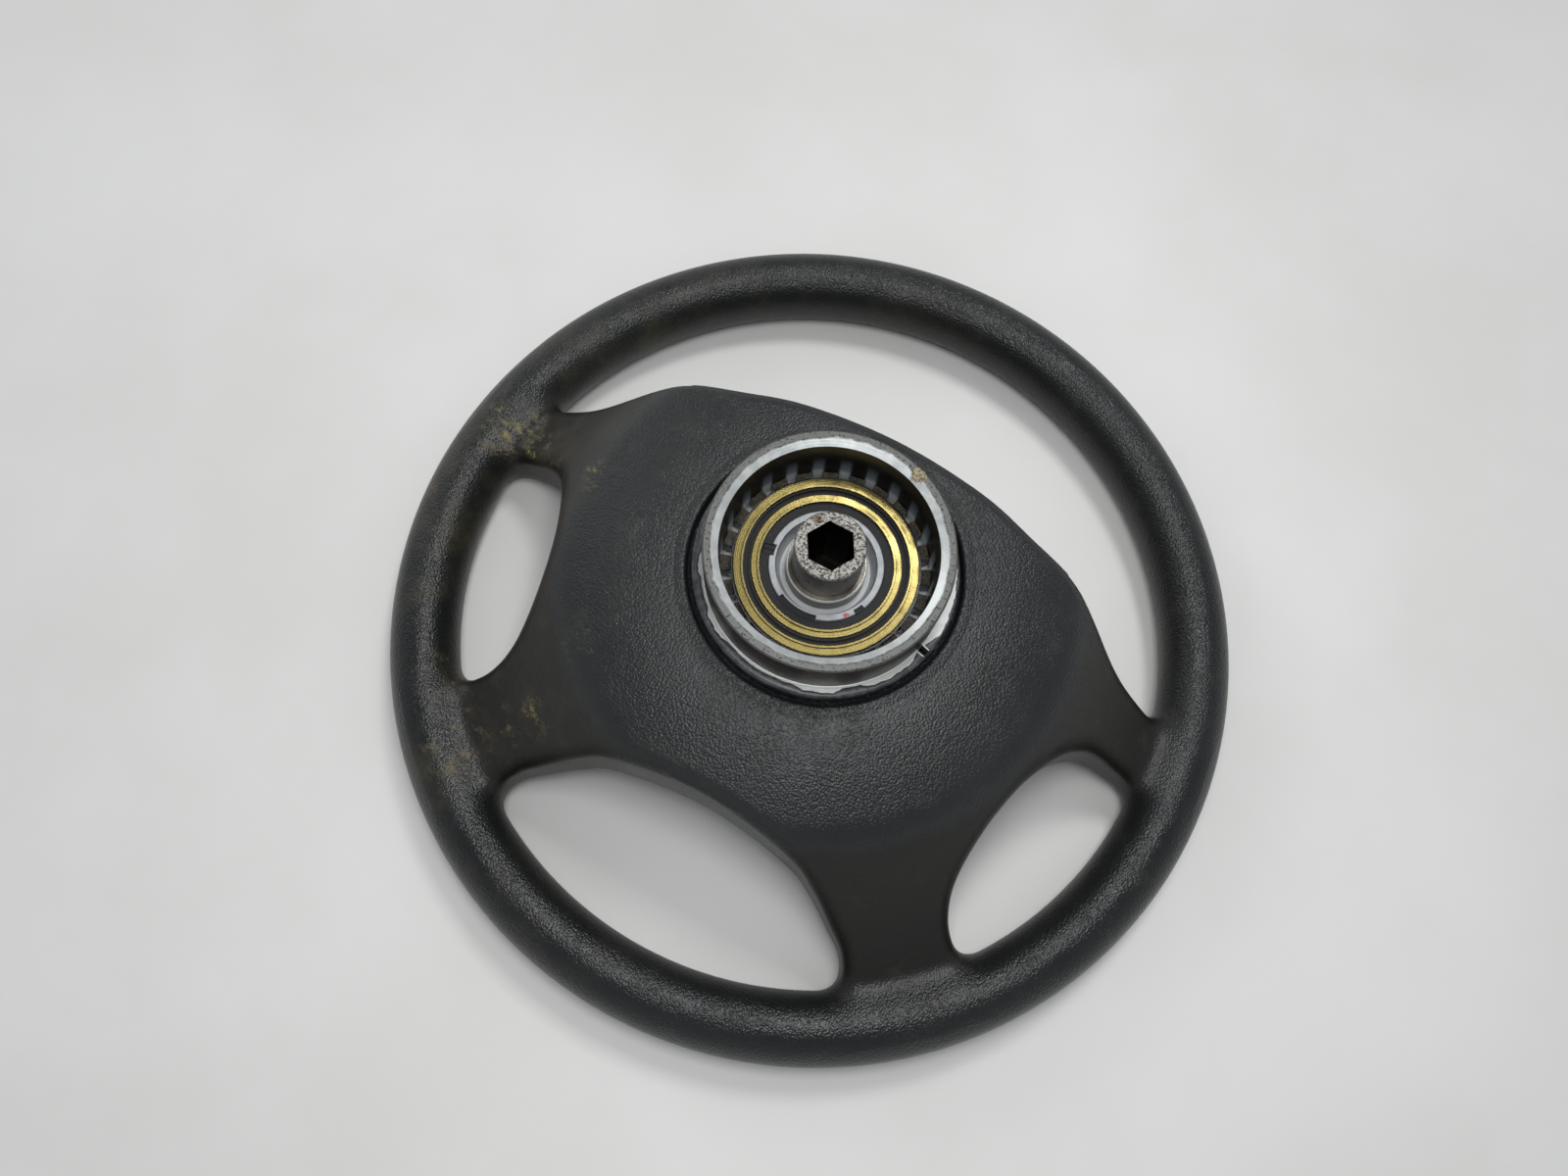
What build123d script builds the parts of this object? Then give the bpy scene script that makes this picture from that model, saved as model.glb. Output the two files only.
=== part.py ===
"""Four-spoke steering wheel with a slip-ring hub, lying on the driver's side of its rim.

Millimetres. +Z points from the driver to the steering column, +Y to twelve o'clock.
The origin is on the wheel's axis, in the plane that touches the driver's side of the rim.
"""

import os
from math import cos, radians, sin

from build123d import *

# ---------------------------------------------------------------- rim and dish
rim_outer_d = 450.0
rim_section_w = 35.8  # the grip's oval section, across
rim_section_h = 41.0  # the same section, along the axis
core_rod_d = 10.0  # steel rod inside the rim
dish_h = 113.0  # rim's driver face to the plateau around the collar
plateau_r = 108.0  # where the plateau starts to fall away to the rim
plateau_fall = 4.5  # how far the plateau sinks between the collar and plateau_r
body_wall = 59.0  # depth of the foam body from plateau to driver's side

# ---------------------------------------------------------------- hub
collar_wall = 7.4
collar_h = 30.0  # collar ring above the plateau
collar_bevel_w = 4.0
collar_bevel_h = 2.6
collar_chamfer = 0.8
flange_w = 4.9  # how far the flange stands out of the collar
flange_t = 5.0
flange_chamfer = 0.6
flange_up = 3.5  # flange face above the plateau
lip_gap = 3.2  # groove between the flange and the foam lip
lip_groove_d = 4.5
notch_angle = -14.0
notch_w = 3.4
plate_margin = 14.6  # hub plate beyond the collar
hub_plate_t = 6.0
casting_floor_t = 8.0
floor_fillet_r = 5.0
hub_depth = 23.0  # plateau down to the casting's mounting face
post_wall = 8.0  # turret's bore to its outside
post_land_w = 3.0
post_chamfer = 0.4
post_groove_d = 8.0
post_groove_lean = 2.6  # how far the groove's wall leans in over its depth
post_cut_angles = (-95.0, -27.0, 192.0)  # middles of the cut-outs in the turret's land
post_cut_widths = (44.0, 11.0, 13.0)
post_cut_wall = 0.9  # land left inside the cut-outs

# ---------------------------------------------------------------- boss
boss_r = 16.4
boss_shoulder_w = 2.6
boss_shoulder_up = 7.5  # shoulder above the plateau
boss_up = 32.5  # boss end above the plateau
boss_flange_w = 9.5
boss_flange_t = 5.0
hex_af = 20.6
hex_depth = 46.0
boss_bolt_hole_r = 8.5
boss_chamfer = 0.6

# ---------------------------------------------------------------- slip rings
ring_face_up = 5.5  # brass faces above the plateau
inner_ring_w = 3.8
outer_ring_w = 4.4
ring_space = 3.8
slip_ring_h = 6.0
ring_bead_w = 1.2
ring_bead_h = 0.7
ring_bead_lean = 0.3
ring_chamfer = 0.3
carrier_inner_land = 4.2
carrier_outer_land = 1.0
carrier_foot_gap = 0.5
carrier_recess = 1.2  # carrier lands below the brass faces
carrier_groove_d = 4.0  # depth of the cut-outs in the turret's land
hook_drop = 0.8  # hooks end below the turret's land
hook_side_deg = 0.75  # gap at each end of a hook
ring_trough_d = 1.4  # insulating groove between the rings
ring_trough_edge = 1.1
tooth_count = 24
tooth_reach = 5.2
tooth_width_deg = 9.0
tooth_first_deg = 9.5
tooth_h = 13.0
terminal_r = 1.5
terminal_sleeve_r = 4.0
outer_terminal_deg = 150.0
inner_terminal_deg = 30.0
sleeve_out = 1.5  # sleeves stand out of the hub plate
terminal_out = 4.0  # pins stand out of their sleeves
latch_size = (5.0, 4.6, 4.6)
latch_slot_w = 0.9
latch_slot_d = 0.6
latch_gap = 0.4

# ---------------------------------------------------------------- spokes
arm_w = 16.0
arm_t = 8.0
arm_start = 8.0  # arms start outside the hub bolts' circle
upper_arm_deg = 7.5
lower_arm_deg = -48.0
arm_foot = 29.0  # level stretch of an arm inside the rim's core circle
arm_cover = 2.0  # foam between the arms and the pad's recess

# ---------------------------------------------------------------- horn pad
pad_w = 170.0
pad_h = 154.0
pad_corner_r = 36.0
pad_centre_y = -21.0
pad_rear_gap = 8.0  # pad's rear edge to the recess's floor, more than the travel
pad_skirt = 32.0
pad_wall = 3.5
pad_front_t = 4.0
pad_edge_r = 10.0
pad_gap = 1.2
pad_plate_t = 2.0
pad_plate_inset = 2.0  # plate below the cover's rear edge
pad_boss_r = 5.0
pad_screw_r = 1.8
pad_screw_head_r = 3.6
pad_screw_head_h = 1.6
pad_screw_len = 12.0
pad_screw_tip_gap = 1.0
pad_screw_inset = (15.0, 20.0)  # from the pad's sides, and from its ends
horn_travel = 2.0
guide_r = 3.0
guide_head_r = 5.5
guide_head_h = 4.0
guide_inset = 7.8  # guides inside the hub plate's edge
guide_degs = (36.0, 144.0, -70.0, -110.0)
spring_r = 6.0
spring_wire_r = 0.7
spring_turns = 4.5
contact_r = 3.5
contact_air = 0.1  # left between the contacts at full travel
contact_bury = 2.0  # insulation above the fixed contact
rivet_r = 4.5
rivet_h = 0.8
rivet_shank_r = 1.5
insulator_size = (26.0, 16.0)
insulator_h = 12.0
insulator_corner_r = 2.0
insulator_screw_r = 1.5
insulator_screw_inset = 3.5
insulator_head_r = 2.6
insulator_head_h = 1.4
contact_inset = 22.0  # contacts inside the hub plate's edge
tag_inset = 5.0  # tag's eye inside the pad's upper edge
tag_reach = 9.0  # tag's eye to its terminal
tag_t = 0.8
tag_w = 3.6
tag_eye_r = 4.2
tag_pin_r = 1.8
tag_pin_h = 4.0
tag_screw_r = 2.0
tag_head_r = 3.8
tag_head_h = 2.6
lead_r = 1.1
lead_lift = 3.6  # leads above the pad's plate when the horn is pressed

# ---------------------------------------------------------------- bolts of the hub
hub_bolt_out = 9.5  # bolt circle outside the boss's flange
hub_bolt_count = 6
hub_bolt_r = 3.0
hub_bolt_head_r = 5.0
hub_bolt_head_h = 4.0
hub_bolt_grip = 5.0  # thread length in the casting floor
hub_bolt_tip_gap = 1.0

# ---------------------------------------------------------------- clearances
mould_gap = 0.1  # foam moulded round metal
slide_gap = 0.3
seat_gap = 0.05
hole_gap = 0.4

# ---------------------------------------------------------------- derived radii, from the boss outwards
boss_shoulder_r = boss_r + boss_shoulder_w
post_r = boss_shoulder_r + post_wall  # turret around the boss
carrier_bore_r = post_r + slide_gap
inner_ring_r = (carrier_bore_r + carrier_inner_land, carrier_bore_r + carrier_inner_land + inner_ring_w)
outer_ring_r = (inner_ring_r[1] + ring_space, inner_ring_r[1] + ring_space + outer_ring_w)
carrier_r = outer_ring_r[1] + carrier_outer_land
tooth_tip_r = carrier_r + tooth_reach
collar_bore_r = tooth_tip_r + slide_gap
collar_r = collar_bore_r + collar_wall
flange_r = collar_r + flange_w
hub_plate_r = collar_r + plate_margin
boss_flange_r = boss_shoulder_r + boss_flange_w
hub_bolt_circle_r = boss_flange_r + hub_bolt_out
arm_start_r = hub_bolt_circle_r + arm_start

# ---------------------------------------------------------------- derived places
rim_r = rim_outer_d / 2 - rim_section_w / 2
rim_z = rim_section_h / 2
rim_in_r = rim_outer_d / 2 - rim_section_w
opening_r = rim_in_r + 2.8  # openings end just inside the grip's inner curve
body_front_z = dish_h - body_wall
mount_z = dish_h - hub_depth  # casting's mounting face on the hub plate
floor_z = mount_z + casting_floor_t
plate_front_z = mount_z - hub_plate_t
recess_floor_z = plate_front_z - arm_t - arm_cover
ring_face_z = dish_h + ring_face_up
ring_seat_z = ring_face_z - slip_ring_h
pad_rear_z = recess_floor_z - pad_rear_gap
pad_front_z = pad_rear_z - pad_skirt
pad_plate_z = pad_rear_z - pad_plate_inset - pad_plate_t
pad_plate_top = pad_plate_z + pad_plate_t
contact_z = pad_plate_top + rivet_h + horn_travel + contact_air
arm_mid_z = plate_front_z - arm_t / 2
through_z = 2 * (dish_h + collar_h)  # beyond every piece
contact_y = contact_inset - hub_plate_r
tag_eye_y = pad_centre_y + pad_h / 2 - tag_inset
tag_pin_y = tag_eye_y - tag_reach

# The arms bend outside the pad's recess, whose lower corners reach furthest from the axis.
corner_x = pad_w / 2 - pad_corner_r
corner_y = pad_h / 2 - pad_corner_r - pad_centre_y
arm_bend_r = (corner_x**2 + corner_y**2) ** 0.5 + pad_corner_r + pad_gap


def polar(radius, degrees):
    """Point at a radius and an angle from +X."""
    return (radius * cos(radians(degrees)), radius * sin(radians(degrees)))


guide_places = [polar(hub_plate_r - guide_inset, degrees) for degrees in guide_degs]
pad_screw_places = [
    (side * (pad_w / 2 - pad_screw_inset[0]), pad_centre_y + end * (pad_h / 2 - pad_screw_inset[1]))
    for side in (-1, 1)
    for end in (-1, 1)
]
outer_terminal = polar(sum(outer_ring_r) / 2, outer_terminal_deg)
inner_terminal = polar(sum(inner_ring_r) / 2, inner_terminal_deg)
insulator_screw_x = insulator_size[0] / 2 - insulator_screw_inset
insulator_screw_places = [(-insulator_screw_x, contact_y), (insulator_screw_x, contact_y)]


def outline_point(bearing, reach):
    """Point at a bearing from twelve o'clock, reach of the way from the flange to the grip."""
    return polar(flange_r + reach * (rim_in_r - flange_r), 90.0 - bearing)


# Edges of the spoke openings: bearing from twelve o'clock, and reach from flange to grip.
top_edge = (
    (0.0, 0.120),
    (33.1, 0.201),
    (50.7, 0.324),
    (62.4, 0.487),
    (74.2, 0.712),
    (78.1, 0.919),
    (80.4, 1.108),
)
side_edge = (
    (90.0, 1.085),
    (90.3, 0.801),
    (93.1, 0.677),
    (99.1, 0.603),
    (108.2, 0.571),
    (118.2, 0.609),
    (126.2, 0.710),
    (129.4, 0.825),
    (129.9, 0.947),
    (129.5, 1.143),
)
bottom_edge = (
    (180.0, 0.435),
    (159.4, 0.540),
    (153.6, 0.644),
    (150.0, 0.769),
    (148.0, 0.875),
    (147.8, 1.046),
)
top_corner_r = 8.0
side_corner_r = 9.0
bottom_corner_r = 9.0


def mirrored(edge):
    """An edge from its left end to its right end, through the middle."""
    left = [(-bearing, reach) for bearing, reach in reversed(edge[1:])]
    return left + list(edge)


def opening_cutter(edge, corner_r):
    """Prism through the wheel between a spoke edge and the grip's inner curve."""
    points = [outline_point(bearing, reach) for bearing, reach in edge]
    middle = Vector(*points[0]) + Vector(*points[-1])
    far = middle.normalized() * (2 * rim_r)
    with BuildPart() as cutter:
        with BuildSketch(Plane.XY.offset(-1)) as shape:
            with BuildLine():
                inner = Spline(*points)
                Line(inner @ 0, (inner @ 0) + far)
                Line((inner @ 0) + far, (inner @ 1) + far)
                Line((inner @ 1) + far, inner @ 1)
            make_face()
            Circle(opening_r, mode=Mode.INTERSECT)
            corners = shape.vertices().filter_by(lambda v: Vector(v.X, v.Y).length > opening_r - 0.01)
            fillet(corners, corner_r)
        extrude(amount=through_z)
    return cutter.part


def ring_sector(inner, outer, middle, width):
    """Sector of a ring between two radii, width degrees wide about a middle angle."""
    with BuildLine() as outline:
        outer_arc = CenterArc((0, 0), outer, middle - width / 2, width)
        inner_arc = CenterArc((0, 0), inner, middle - width / 2, width)
        Line(outer_arc @ 0, inner_arc @ 0)
        Line(outer_arc @ 1, inner_arc @ 1)
    make_face(outline.edges())


os.makedirs("parts", exist_ok=True)


def write(builder, label):
    """Label a finished piece and write its STEP."""
    builder.part.label = label
    export_step(builder.part, f"parts/{label}.step")


# ---------------------------------------------------------------- rim core
with BuildPart() as rim_core:
    with Locations((0, 0, rim_z)):
        Torus(rim_r, core_rod_d / 2)
write(rim_core, "rim_core")

# ---------------------------------------------------------------- spoke arms
# Flat bars: level from the hub plate to the bend, down to the rim's level, then in to its core.
arm_angles = {
    "upper_right": upper_arm_deg,
    "upper_left": 180.0 - upper_arm_deg,
    "lower_right": lower_arm_deg,
    "lower_left": 180.0 - lower_arm_deg,
}


def arm_solid(degrees, grow=0.0):
    """A spoke arm at an angle, coped to the rim core; grow makes its cavity in the foam."""
    direction = Vector(*polar(1, degrees))
    side_plane = Plane(origin=(0, 0, 0), x_dir=direction, z_dir=direction.cross(Vector(0, 0, 1)))
    half = arm_t / 2 + grow
    spine = (
        Vector(arm_start_r - grow, arm_mid_z),
        Vector(arm_bend_r, arm_mid_z),
        Vector(rim_r - arm_foot, rim_z),
        Vector(rim_r, rim_z),
    )
    normals = []
    for start, end in zip(spine, spine[1:]):
        along = (end - start).normalized()
        normals.append(Vector(-along.Y, along.X))
    offsets = [normals[0] * half]
    for before, after in zip(normals, normals[1:]):
        mitre = before + after
        offsets.append(mitre * (half / mitre.dot(after)))
    offsets.append(normals[-1] * half)
    upper = [point + shift for point, shift in zip(spine, offsets)]
    lower = [point - shift for point, shift in zip(spine, offsets)]
    with BuildPart() as arm:
        with BuildSketch(side_plane):
            with BuildLine():
                Polyline(*upper, *reversed(lower), close=True)
            make_face()
        extrude(amount=arm_w / 2 + grow, both=True)
        if grow == 0:
            with Locations((0, 0, rim_z)):
                Torus(rim_r, core_rod_d / 2, mode=Mode.SUBTRACT)
            keep = arm.solids().sort_by(SortBy.VOLUME)[-1]
            add(keep, mode=Mode.REPLACE)
    return arm.part


for name, degrees in arm_angles.items():
    with BuildPart() as spoke_arm:
        add(arm_solid(degrees))
    write(spoke_arm, f"spoke_arm_{name}")

# ---------------------------------------------------------------- hub plate
with BuildPart() as hub_plate:
    with BuildSketch(Plane.XY.offset(plate_front_z)):
        Circle(hub_plate_r)
        Circle(boss_shoulder_r + seat_gap, mode=Mode.SUBTRACT)
        with Locations(outer_terminal, inner_terminal):
            Circle(terminal_sleeve_r + hole_gap, mode=Mode.SUBTRACT)
        with PolarLocations(hub_bolt_circle_r, hub_bolt_count):
            Circle(hub_bolt_r + seat_gap, mode=Mode.SUBTRACT)
        with Locations(*guide_places):
            Circle(guide_r + seat_gap, mode=Mode.SUBTRACT)
        with Locations((0, tag_eye_y)):
            Circle(tag_screw_r + seat_gap, mode=Mode.SUBTRACT)
        with Locations(*insulator_screw_places):
            Circle(insulator_screw_r + seat_gap, mode=Mode.SUBTRACT)
    extrude(amount=hub_plate_t)
write(hub_plate, "hub_plate")

# ---------------------------------------------------------------- foam grip
# Rim, spokes and plateau, moulded in one piece round the steel. The turned shapes start at twelve
# o'clock, so that their seams lie in an opening and not in a spoke.
fall_span = rim_r - plateau_r
shoulder_z = dish_h - plateau_fall
lip_r = flange_r + lip_gap
flange_top_z = dish_h + flange_up
flange_low_z = flange_top_z - flange_t
groove_floor_z = dish_h - lip_groove_d

with BuildPart() as foam_grip:
    with BuildSketch(Plane.YZ):
        with BuildLine():
            top_line = Spline(
                (lip_r, dish_h), (plateau_r, shoulder_z), tangents=((1, 0), (1, -0.31))
            )
            Bezier(
                (plateau_r, shoulder_z),
                (plateau_r + 0.27 * fall_span, shoulder_z - 8.5),
                (plateau_r + 0.505 * fall_span, rim_z + 24),
                (rim_r, rim_z + 6),
            )
            Line((rim_r, rim_z + 6), (rim_r, rim_z - 10))
            Bezier(
                (rim_r, rim_z - 10),
                (plateau_r + 0.48 * fall_span, rim_z - 10),
                (plateau_r + 0.22 * fall_span, body_front_z),
                (plateau_r - 8, body_front_z),
            )
            Polyline(
                (plateau_r - 8, body_front_z), (lip_r, body_front_z), (lip_r, dish_h)
            )
        make_face()
    revolve(axis=Axis.Z)
    with BuildSketch(Plane.XY.offset(body_front_z)):
        Circle(lip_r)
    extrude(amount=groove_floor_z - body_front_z)
    add(opening_cutter(mirrored(top_edge), top_corner_r), mode=Mode.SUBTRACT)
    side_cutter = opening_cutter(side_edge, side_corner_r)
    add(side_cutter, mode=Mode.SUBTRACT)
    add(mirror(side_cutter, about=Plane.YZ, mode=Mode.PRIVATE), mode=Mode.SUBTRACT)
    add(opening_cutter(mirrored(bottom_edge), bottom_corner_r), mode=Mode.SUBTRACT)
    with BuildSketch(Plane.YZ):
        with Locations((rim_r, rim_z)):
            Ellipse(rim_section_w / 2, rim_section_h / 2)
    revolve(axis=Axis.Z)
    # recess for the horn pad, the arms and the hub plate
    with BuildSketch(Plane.XY.offset(-1)):
        with Locations((0, pad_centre_y)):
            RectangleRounded(pad_w + 2 * pad_gap, pad_h + 2 * pad_gap, pad_corner_r + pad_gap)
    extrude(amount=recess_floor_z + 1, mode=Mode.SUBTRACT)
    with BuildSketch(Plane.XY.offset(recess_floor_z)):
        Circle(hub_plate_r + mould_gap)
        with Locations((0, pad_centre_y)):
            RectangleRounded(
                pad_w + 2 * pad_gap,
                pad_h + 2 * pad_gap,
                pad_corner_r + pad_gap,
                mode=Mode.INTERSECT,
            )
    extrude(amount=mount_z - recess_floor_z, mode=Mode.SUBTRACT)
    with BuildSketch(Plane.XY.offset(plate_front_z - mould_gap)):
        Circle(hub_plate_r + mould_gap)
    extrude(amount=hub_plate_t + 2 * mould_gap, mode=Mode.SUBTRACT)
    # the collar stands through the middle
    with BuildSketch(Plane.XY.offset(mount_z)):
        Circle(collar_r + mould_gap)
    extrude(amount=through_z - mount_z, mode=Mode.SUBTRACT)
    with BuildSketch(Plane.XY.offset(groove_floor_z)):
        Circle(lip_r)
    extrude(amount=through_z, mode=Mode.SUBTRACT)
    with Locations((0, 0, rim_z)):
        Torus(rim_r, core_rod_d / 2 + mould_gap, mode=Mode.SUBTRACT)
    for degrees in arm_angles.values():
        add(arm_solid(degrees, mould_gap), mode=Mode.SUBTRACT)
write(foam_grip, "foam_grip")

# ---------------------------------------------------------------- hub casting
collar_top_z = dish_h + collar_h
post_top_z = dish_h + ring_face_up
post_dish_r = post_r - post_land_w
arc_side = floor_fillet_r * (1 - cos(radians(45)))
with BuildPart() as hub_casting:
    with BuildSketch(Plane.XZ):
        with BuildLine():
            Polyline(
                (boss_shoulder_r + seat_gap, mount_z),
                (collar_r, mount_z),
                (collar_r, flange_low_z),
                (flange_r, flange_low_z),
                (flange_r, flange_top_z - flange_chamfer),
                (flange_r - flange_chamfer, flange_top_z),
                (collar_r, flange_top_z),
                (collar_r, collar_top_z - collar_chamfer),
                (collar_r - collar_chamfer, collar_top_z),
                (collar_bore_r + collar_bevel_w, collar_top_z),
                (collar_bore_r, collar_top_z - collar_bevel_h),
                (collar_bore_r, floor_z + floor_fillet_r),
            )
            floor_curve = ThreePointArc(
                (collar_bore_r, floor_z + floor_fillet_r),
                (collar_bore_r - arc_side, floor_z + arc_side),
                (collar_bore_r - floor_fillet_r, floor_z),
            )
            Polyline(
                floor_curve @ 1,
                (post_r, floor_z),
                (post_r, post_top_z - post_chamfer),
                (post_r - post_chamfer, post_top_z),
                (post_dish_r, post_top_z),
            )
            dish_curve = ThreePointArc(
                (post_dish_r, post_top_z),
                (post_dish_r - 0.23 * post_groove_lean, post_top_z - 0.6 * post_groove_d),
                (post_dish_r - post_groove_lean, post_top_z - post_groove_d),
            )
            Polyline(
                dish_curve @ 1,
                (boss_shoulder_r + seat_gap, post_top_z - post_groove_d),
                (boss_shoulder_r + seat_gap, mount_z),
            )
        make_face()
    revolve(axis=Axis.Z)
    # cut-outs in the turret's land, which the carrier's hooks fill
    for middle, width in zip(post_cut_angles, post_cut_widths):
        with BuildSketch(Plane.XY.offset(post_top_z - carrier_groove_d)):
            ring_sector(post_dish_r + post_cut_wall, post_r + 1, middle, width)
        extrude(amount=carrier_groove_d + 1, mode=Mode.SUBTRACT)
    # cast notch through the flange
    notch_dir = Vector(*polar(1, notch_angle))
    notch_plane = Plane(origin=(0, 0, flange_low_z - 1), x_dir=notch_dir, z_dir=(0, 0, 1))
    with BuildSketch(notch_plane):
        with Locations((flange_r, 0)):
            Rectangle(2 * flange_w, notch_w)
    extrude(amount=flange_t + 2, mode=Mode.SUBTRACT)
    # sleeves of the slip-ring terminals
    with BuildSketch(Plane.XY.offset(mount_z)):
        with Locations(outer_terminal, inner_terminal):
            Circle(terminal_sleeve_r + hole_gap)
    extrude(amount=casting_floor_t, mode=Mode.SUBTRACT)
    with BuildSketch(Plane.XY.offset(mount_z)):
        with PolarLocations(hub_bolt_circle_r, hub_bolt_count):
            Circle(hub_bolt_r + seat_gap)
    extrude(amount=hub_bolt_grip + hub_bolt_tip_gap, mode=Mode.SUBTRACT)
write(hub_casting, "hub_casting")

# ---------------------------------------------------------------- hub bolts
with BuildPart() as hub_bolts:
    with BuildSketch(Plane.XY.offset(plate_front_z)):
        with PolarLocations(hub_bolt_circle_r, hub_bolt_count):
            Circle(hub_bolt_r)
    extrude(amount=hub_plate_t + hub_bolt_grip)
    with BuildSketch(Plane.XY.offset(plate_front_z - hub_bolt_head_h)):
        with PolarLocations(hub_bolt_circle_r, hub_bolt_count):
            RegularPolygon(hub_bolt_head_r, 6)
    extrude(amount=hub_bolt_head_h)
write(hub_bolts, "hub_bolts")

# ---------------------------------------------------------------- boss with the hexagon socket
boss_low_z = plate_front_z - boss_flange_t
boss_top_z = dish_h + boss_up
shoulder_top_z = dish_h + boss_shoulder_up
with BuildPart() as hex_boss:
    with BuildSketch(Plane.XY.offset(boss_low_z)):
        Circle(boss_flange_r)
    extrude(amount=boss_flange_t)
    with BuildSketch(Plane.XY.offset(plate_front_z)):
        Circle(boss_shoulder_r)
    extrude(amount=shoulder_top_z - plate_front_z)
    with BuildSketch(Plane.XY.offset(shoulder_top_z)):
        Circle(boss_r)
    extrude(amount=boss_top_z - shoulder_top_z)
    rims = hex_boss.edges().filter_by(GeomType.CIRCLE)
    shoulder_rims = rims.filter_by_position(Axis.Z, shoulder_top_z - 0.1, shoulder_top_z + 0.1)
    chamfer([rims.sort_by(Axis.Z)[-1], shoulder_rims.sort_by(SortBy.LENGTH)[-1]], boss_chamfer)
    with BuildSketch(Plane.XY.offset(boss_top_z - hex_depth)):
        RegularPolygon(hex_af / 2, 6, major_radius=False)
    extrude(amount=hex_depth, mode=Mode.SUBTRACT)
    with BuildSketch(Plane.XY.offset(boss_low_z)):
        Circle(boss_bolt_hole_r)
    extrude(amount=boss_top_z - hex_depth - boss_low_z, mode=Mode.SUBTRACT)
write(hex_boss, "hex_boss")

# ---------------------------------------------------------------- slip-ring carrier
carrier_top_z = ring_face_z - carrier_recess
carrier_low_z = floor_z + carrier_foot_gap
sleeve_low_z = plate_front_z - sleeve_out
latch_low_z = carrier_top_z - latch_size[2] - latch_gap
latch_r = carrier_bore_r + latch_slot_d  # middle of the latch
latch_dir = Vector(*polar(1, post_cut_angles[2]))
latch_plane = Plane(origin=(0, 0, latch_low_z), x_dir=latch_dir, z_dir=(0, 0, 1))


def ring_seat(radii):
    """Annulus of a slip ring's seat, with its clearance."""
    Circle(radii[1] + seat_gap)
    Circle(radii[0] - seat_gap, mode=Mode.SUBTRACT)


with BuildPart() as slip_ring_carrier:
    with BuildSketch(Plane.XY.offset(carrier_low_z)):
        Circle(carrier_r)
        Circle(carrier_bore_r, mode=Mode.SUBTRACT)
    extrude(amount=carrier_top_z - carrier_low_z)
    for radii in (inner_ring_r, outer_ring_r):
        with BuildSketch(Plane.XY.offset(ring_seat_z - seat_gap)):
            ring_seat(radii)
        extrude(amount=slip_ring_h + 1, mode=Mode.SUBTRACT)
    # insulating groove between the rings
    with BuildSketch(Plane.XY.offset(carrier_top_z - ring_trough_d)):
        Circle(outer_ring_r[0] - ring_trough_edge)
        Circle(inner_ring_r[1] + ring_trough_edge, mode=Mode.SUBTRACT)
    extrude(amount=ring_trough_d, mode=Mode.SUBTRACT)
    # crown of teeth against the collar's bore
    tooth_low_z = floor_z + floor_fillet_r + slide_gap
    with BuildSketch(Plane.XY.offset(tooth_low_z)):
        for index in range(tooth_count):
            middle = tooth_first_deg + index * 360 / tooth_count
            ring_sector(carrier_r - carrier_outer_land / 2, tooth_tip_r, middle, tooth_width_deg)
    extrude(amount=carrier_low_z + tooth_h - tooth_low_z)
    # hooks that fill the first two cut-outs in the turret's land
    with BuildSketch(Plane.XY.offset(post_top_z - carrier_groove_d + seat_gap)):
        for middle, width in zip(post_cut_angles[:2], post_cut_widths[:2]):
            hook_inner = post_dish_r + post_cut_wall + seat_gap
            ring_sector(hook_inner, carrier_bore_r + slide_gap, middle, width - 2 * hook_side_deg)
    extrude(amount=carrier_groove_d - hook_drop)
    # terminal sleeves through the floor and the hub plate
    with BuildSketch(Plane.XY.offset(sleeve_low_z)):
        with Locations(outer_terminal, inner_terminal):
            Circle(terminal_sleeve_r)
    extrude(amount=carrier_low_z - sleeve_low_z)
    with BuildSketch(Plane.XY.offset(sleeve_low_z)):
        with Locations(outer_terminal, inner_terminal):
            Circle(terminal_r + seat_gap)
    extrude(amount=ring_seat_z - sleeve_low_z, mode=Mode.SUBTRACT)
    # seat of the latch
    with BuildSketch(latch_plane):
        with Locations((latch_r, 0)):
            Rectangle(latch_size[0] + 2 * slide_gap, latch_size[1] + 2 * slide_gap)
    extrude(amount=carrier_recess + latch_size[2], mode=Mode.SUBTRACT)
write(slip_ring_carrier, "slip_ring_carrier")

# ---------------------------------------------------------------- carrier latch
with BuildPart() as carrier_latch:
    with BuildSketch(latch_plane):
        with Locations((latch_r, 0)):
            Rectangle(latch_size[0], latch_size[1])
    extrude(amount=latch_size[2])
    with BuildSketch(latch_plane.offset(latch_size[2] - latch_slot_d)):
        with Locations((latch_r, 0)):
            Rectangle(latch_size[0], latch_slot_w)
    extrude(amount=latch_slot_d, mode=Mode.SUBTRACT)
    # it steps over the turret's cut-out
    with BuildSketch(latch_plane):
        Circle(carrier_bore_r)
    extrude(amount=post_top_z - carrier_groove_d + slide_gap - latch_low_z, mode=Mode.SUBTRACT)
write(carrier_latch, "carrier_latch")


# ---------------------------------------------------------------- slip rings and their terminals
def slip_ring(radii):
    """Brass ring with a raised bead along its inner edge."""
    with BuildPart() as ring:
        with BuildSketch(Plane.XZ):
            with BuildLine():
                Polyline(
                    (radii[0], ring_seat_z),
                    (radii[1], ring_seat_z),
                    (radii[1], ring_face_z - ring_chamfer),
                    (radii[1] - ring_chamfer, ring_face_z),
                    (radii[0] + ring_bead_w, ring_face_z),
                    (radii[0] + ring_bead_w - ring_bead_lean, ring_face_z + ring_bead_h),
                    (radii[0], ring_face_z + ring_bead_h),
                    close=True,
                )
            make_face()
        revolve(axis=Axis.Z)
    return ring.part


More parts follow.
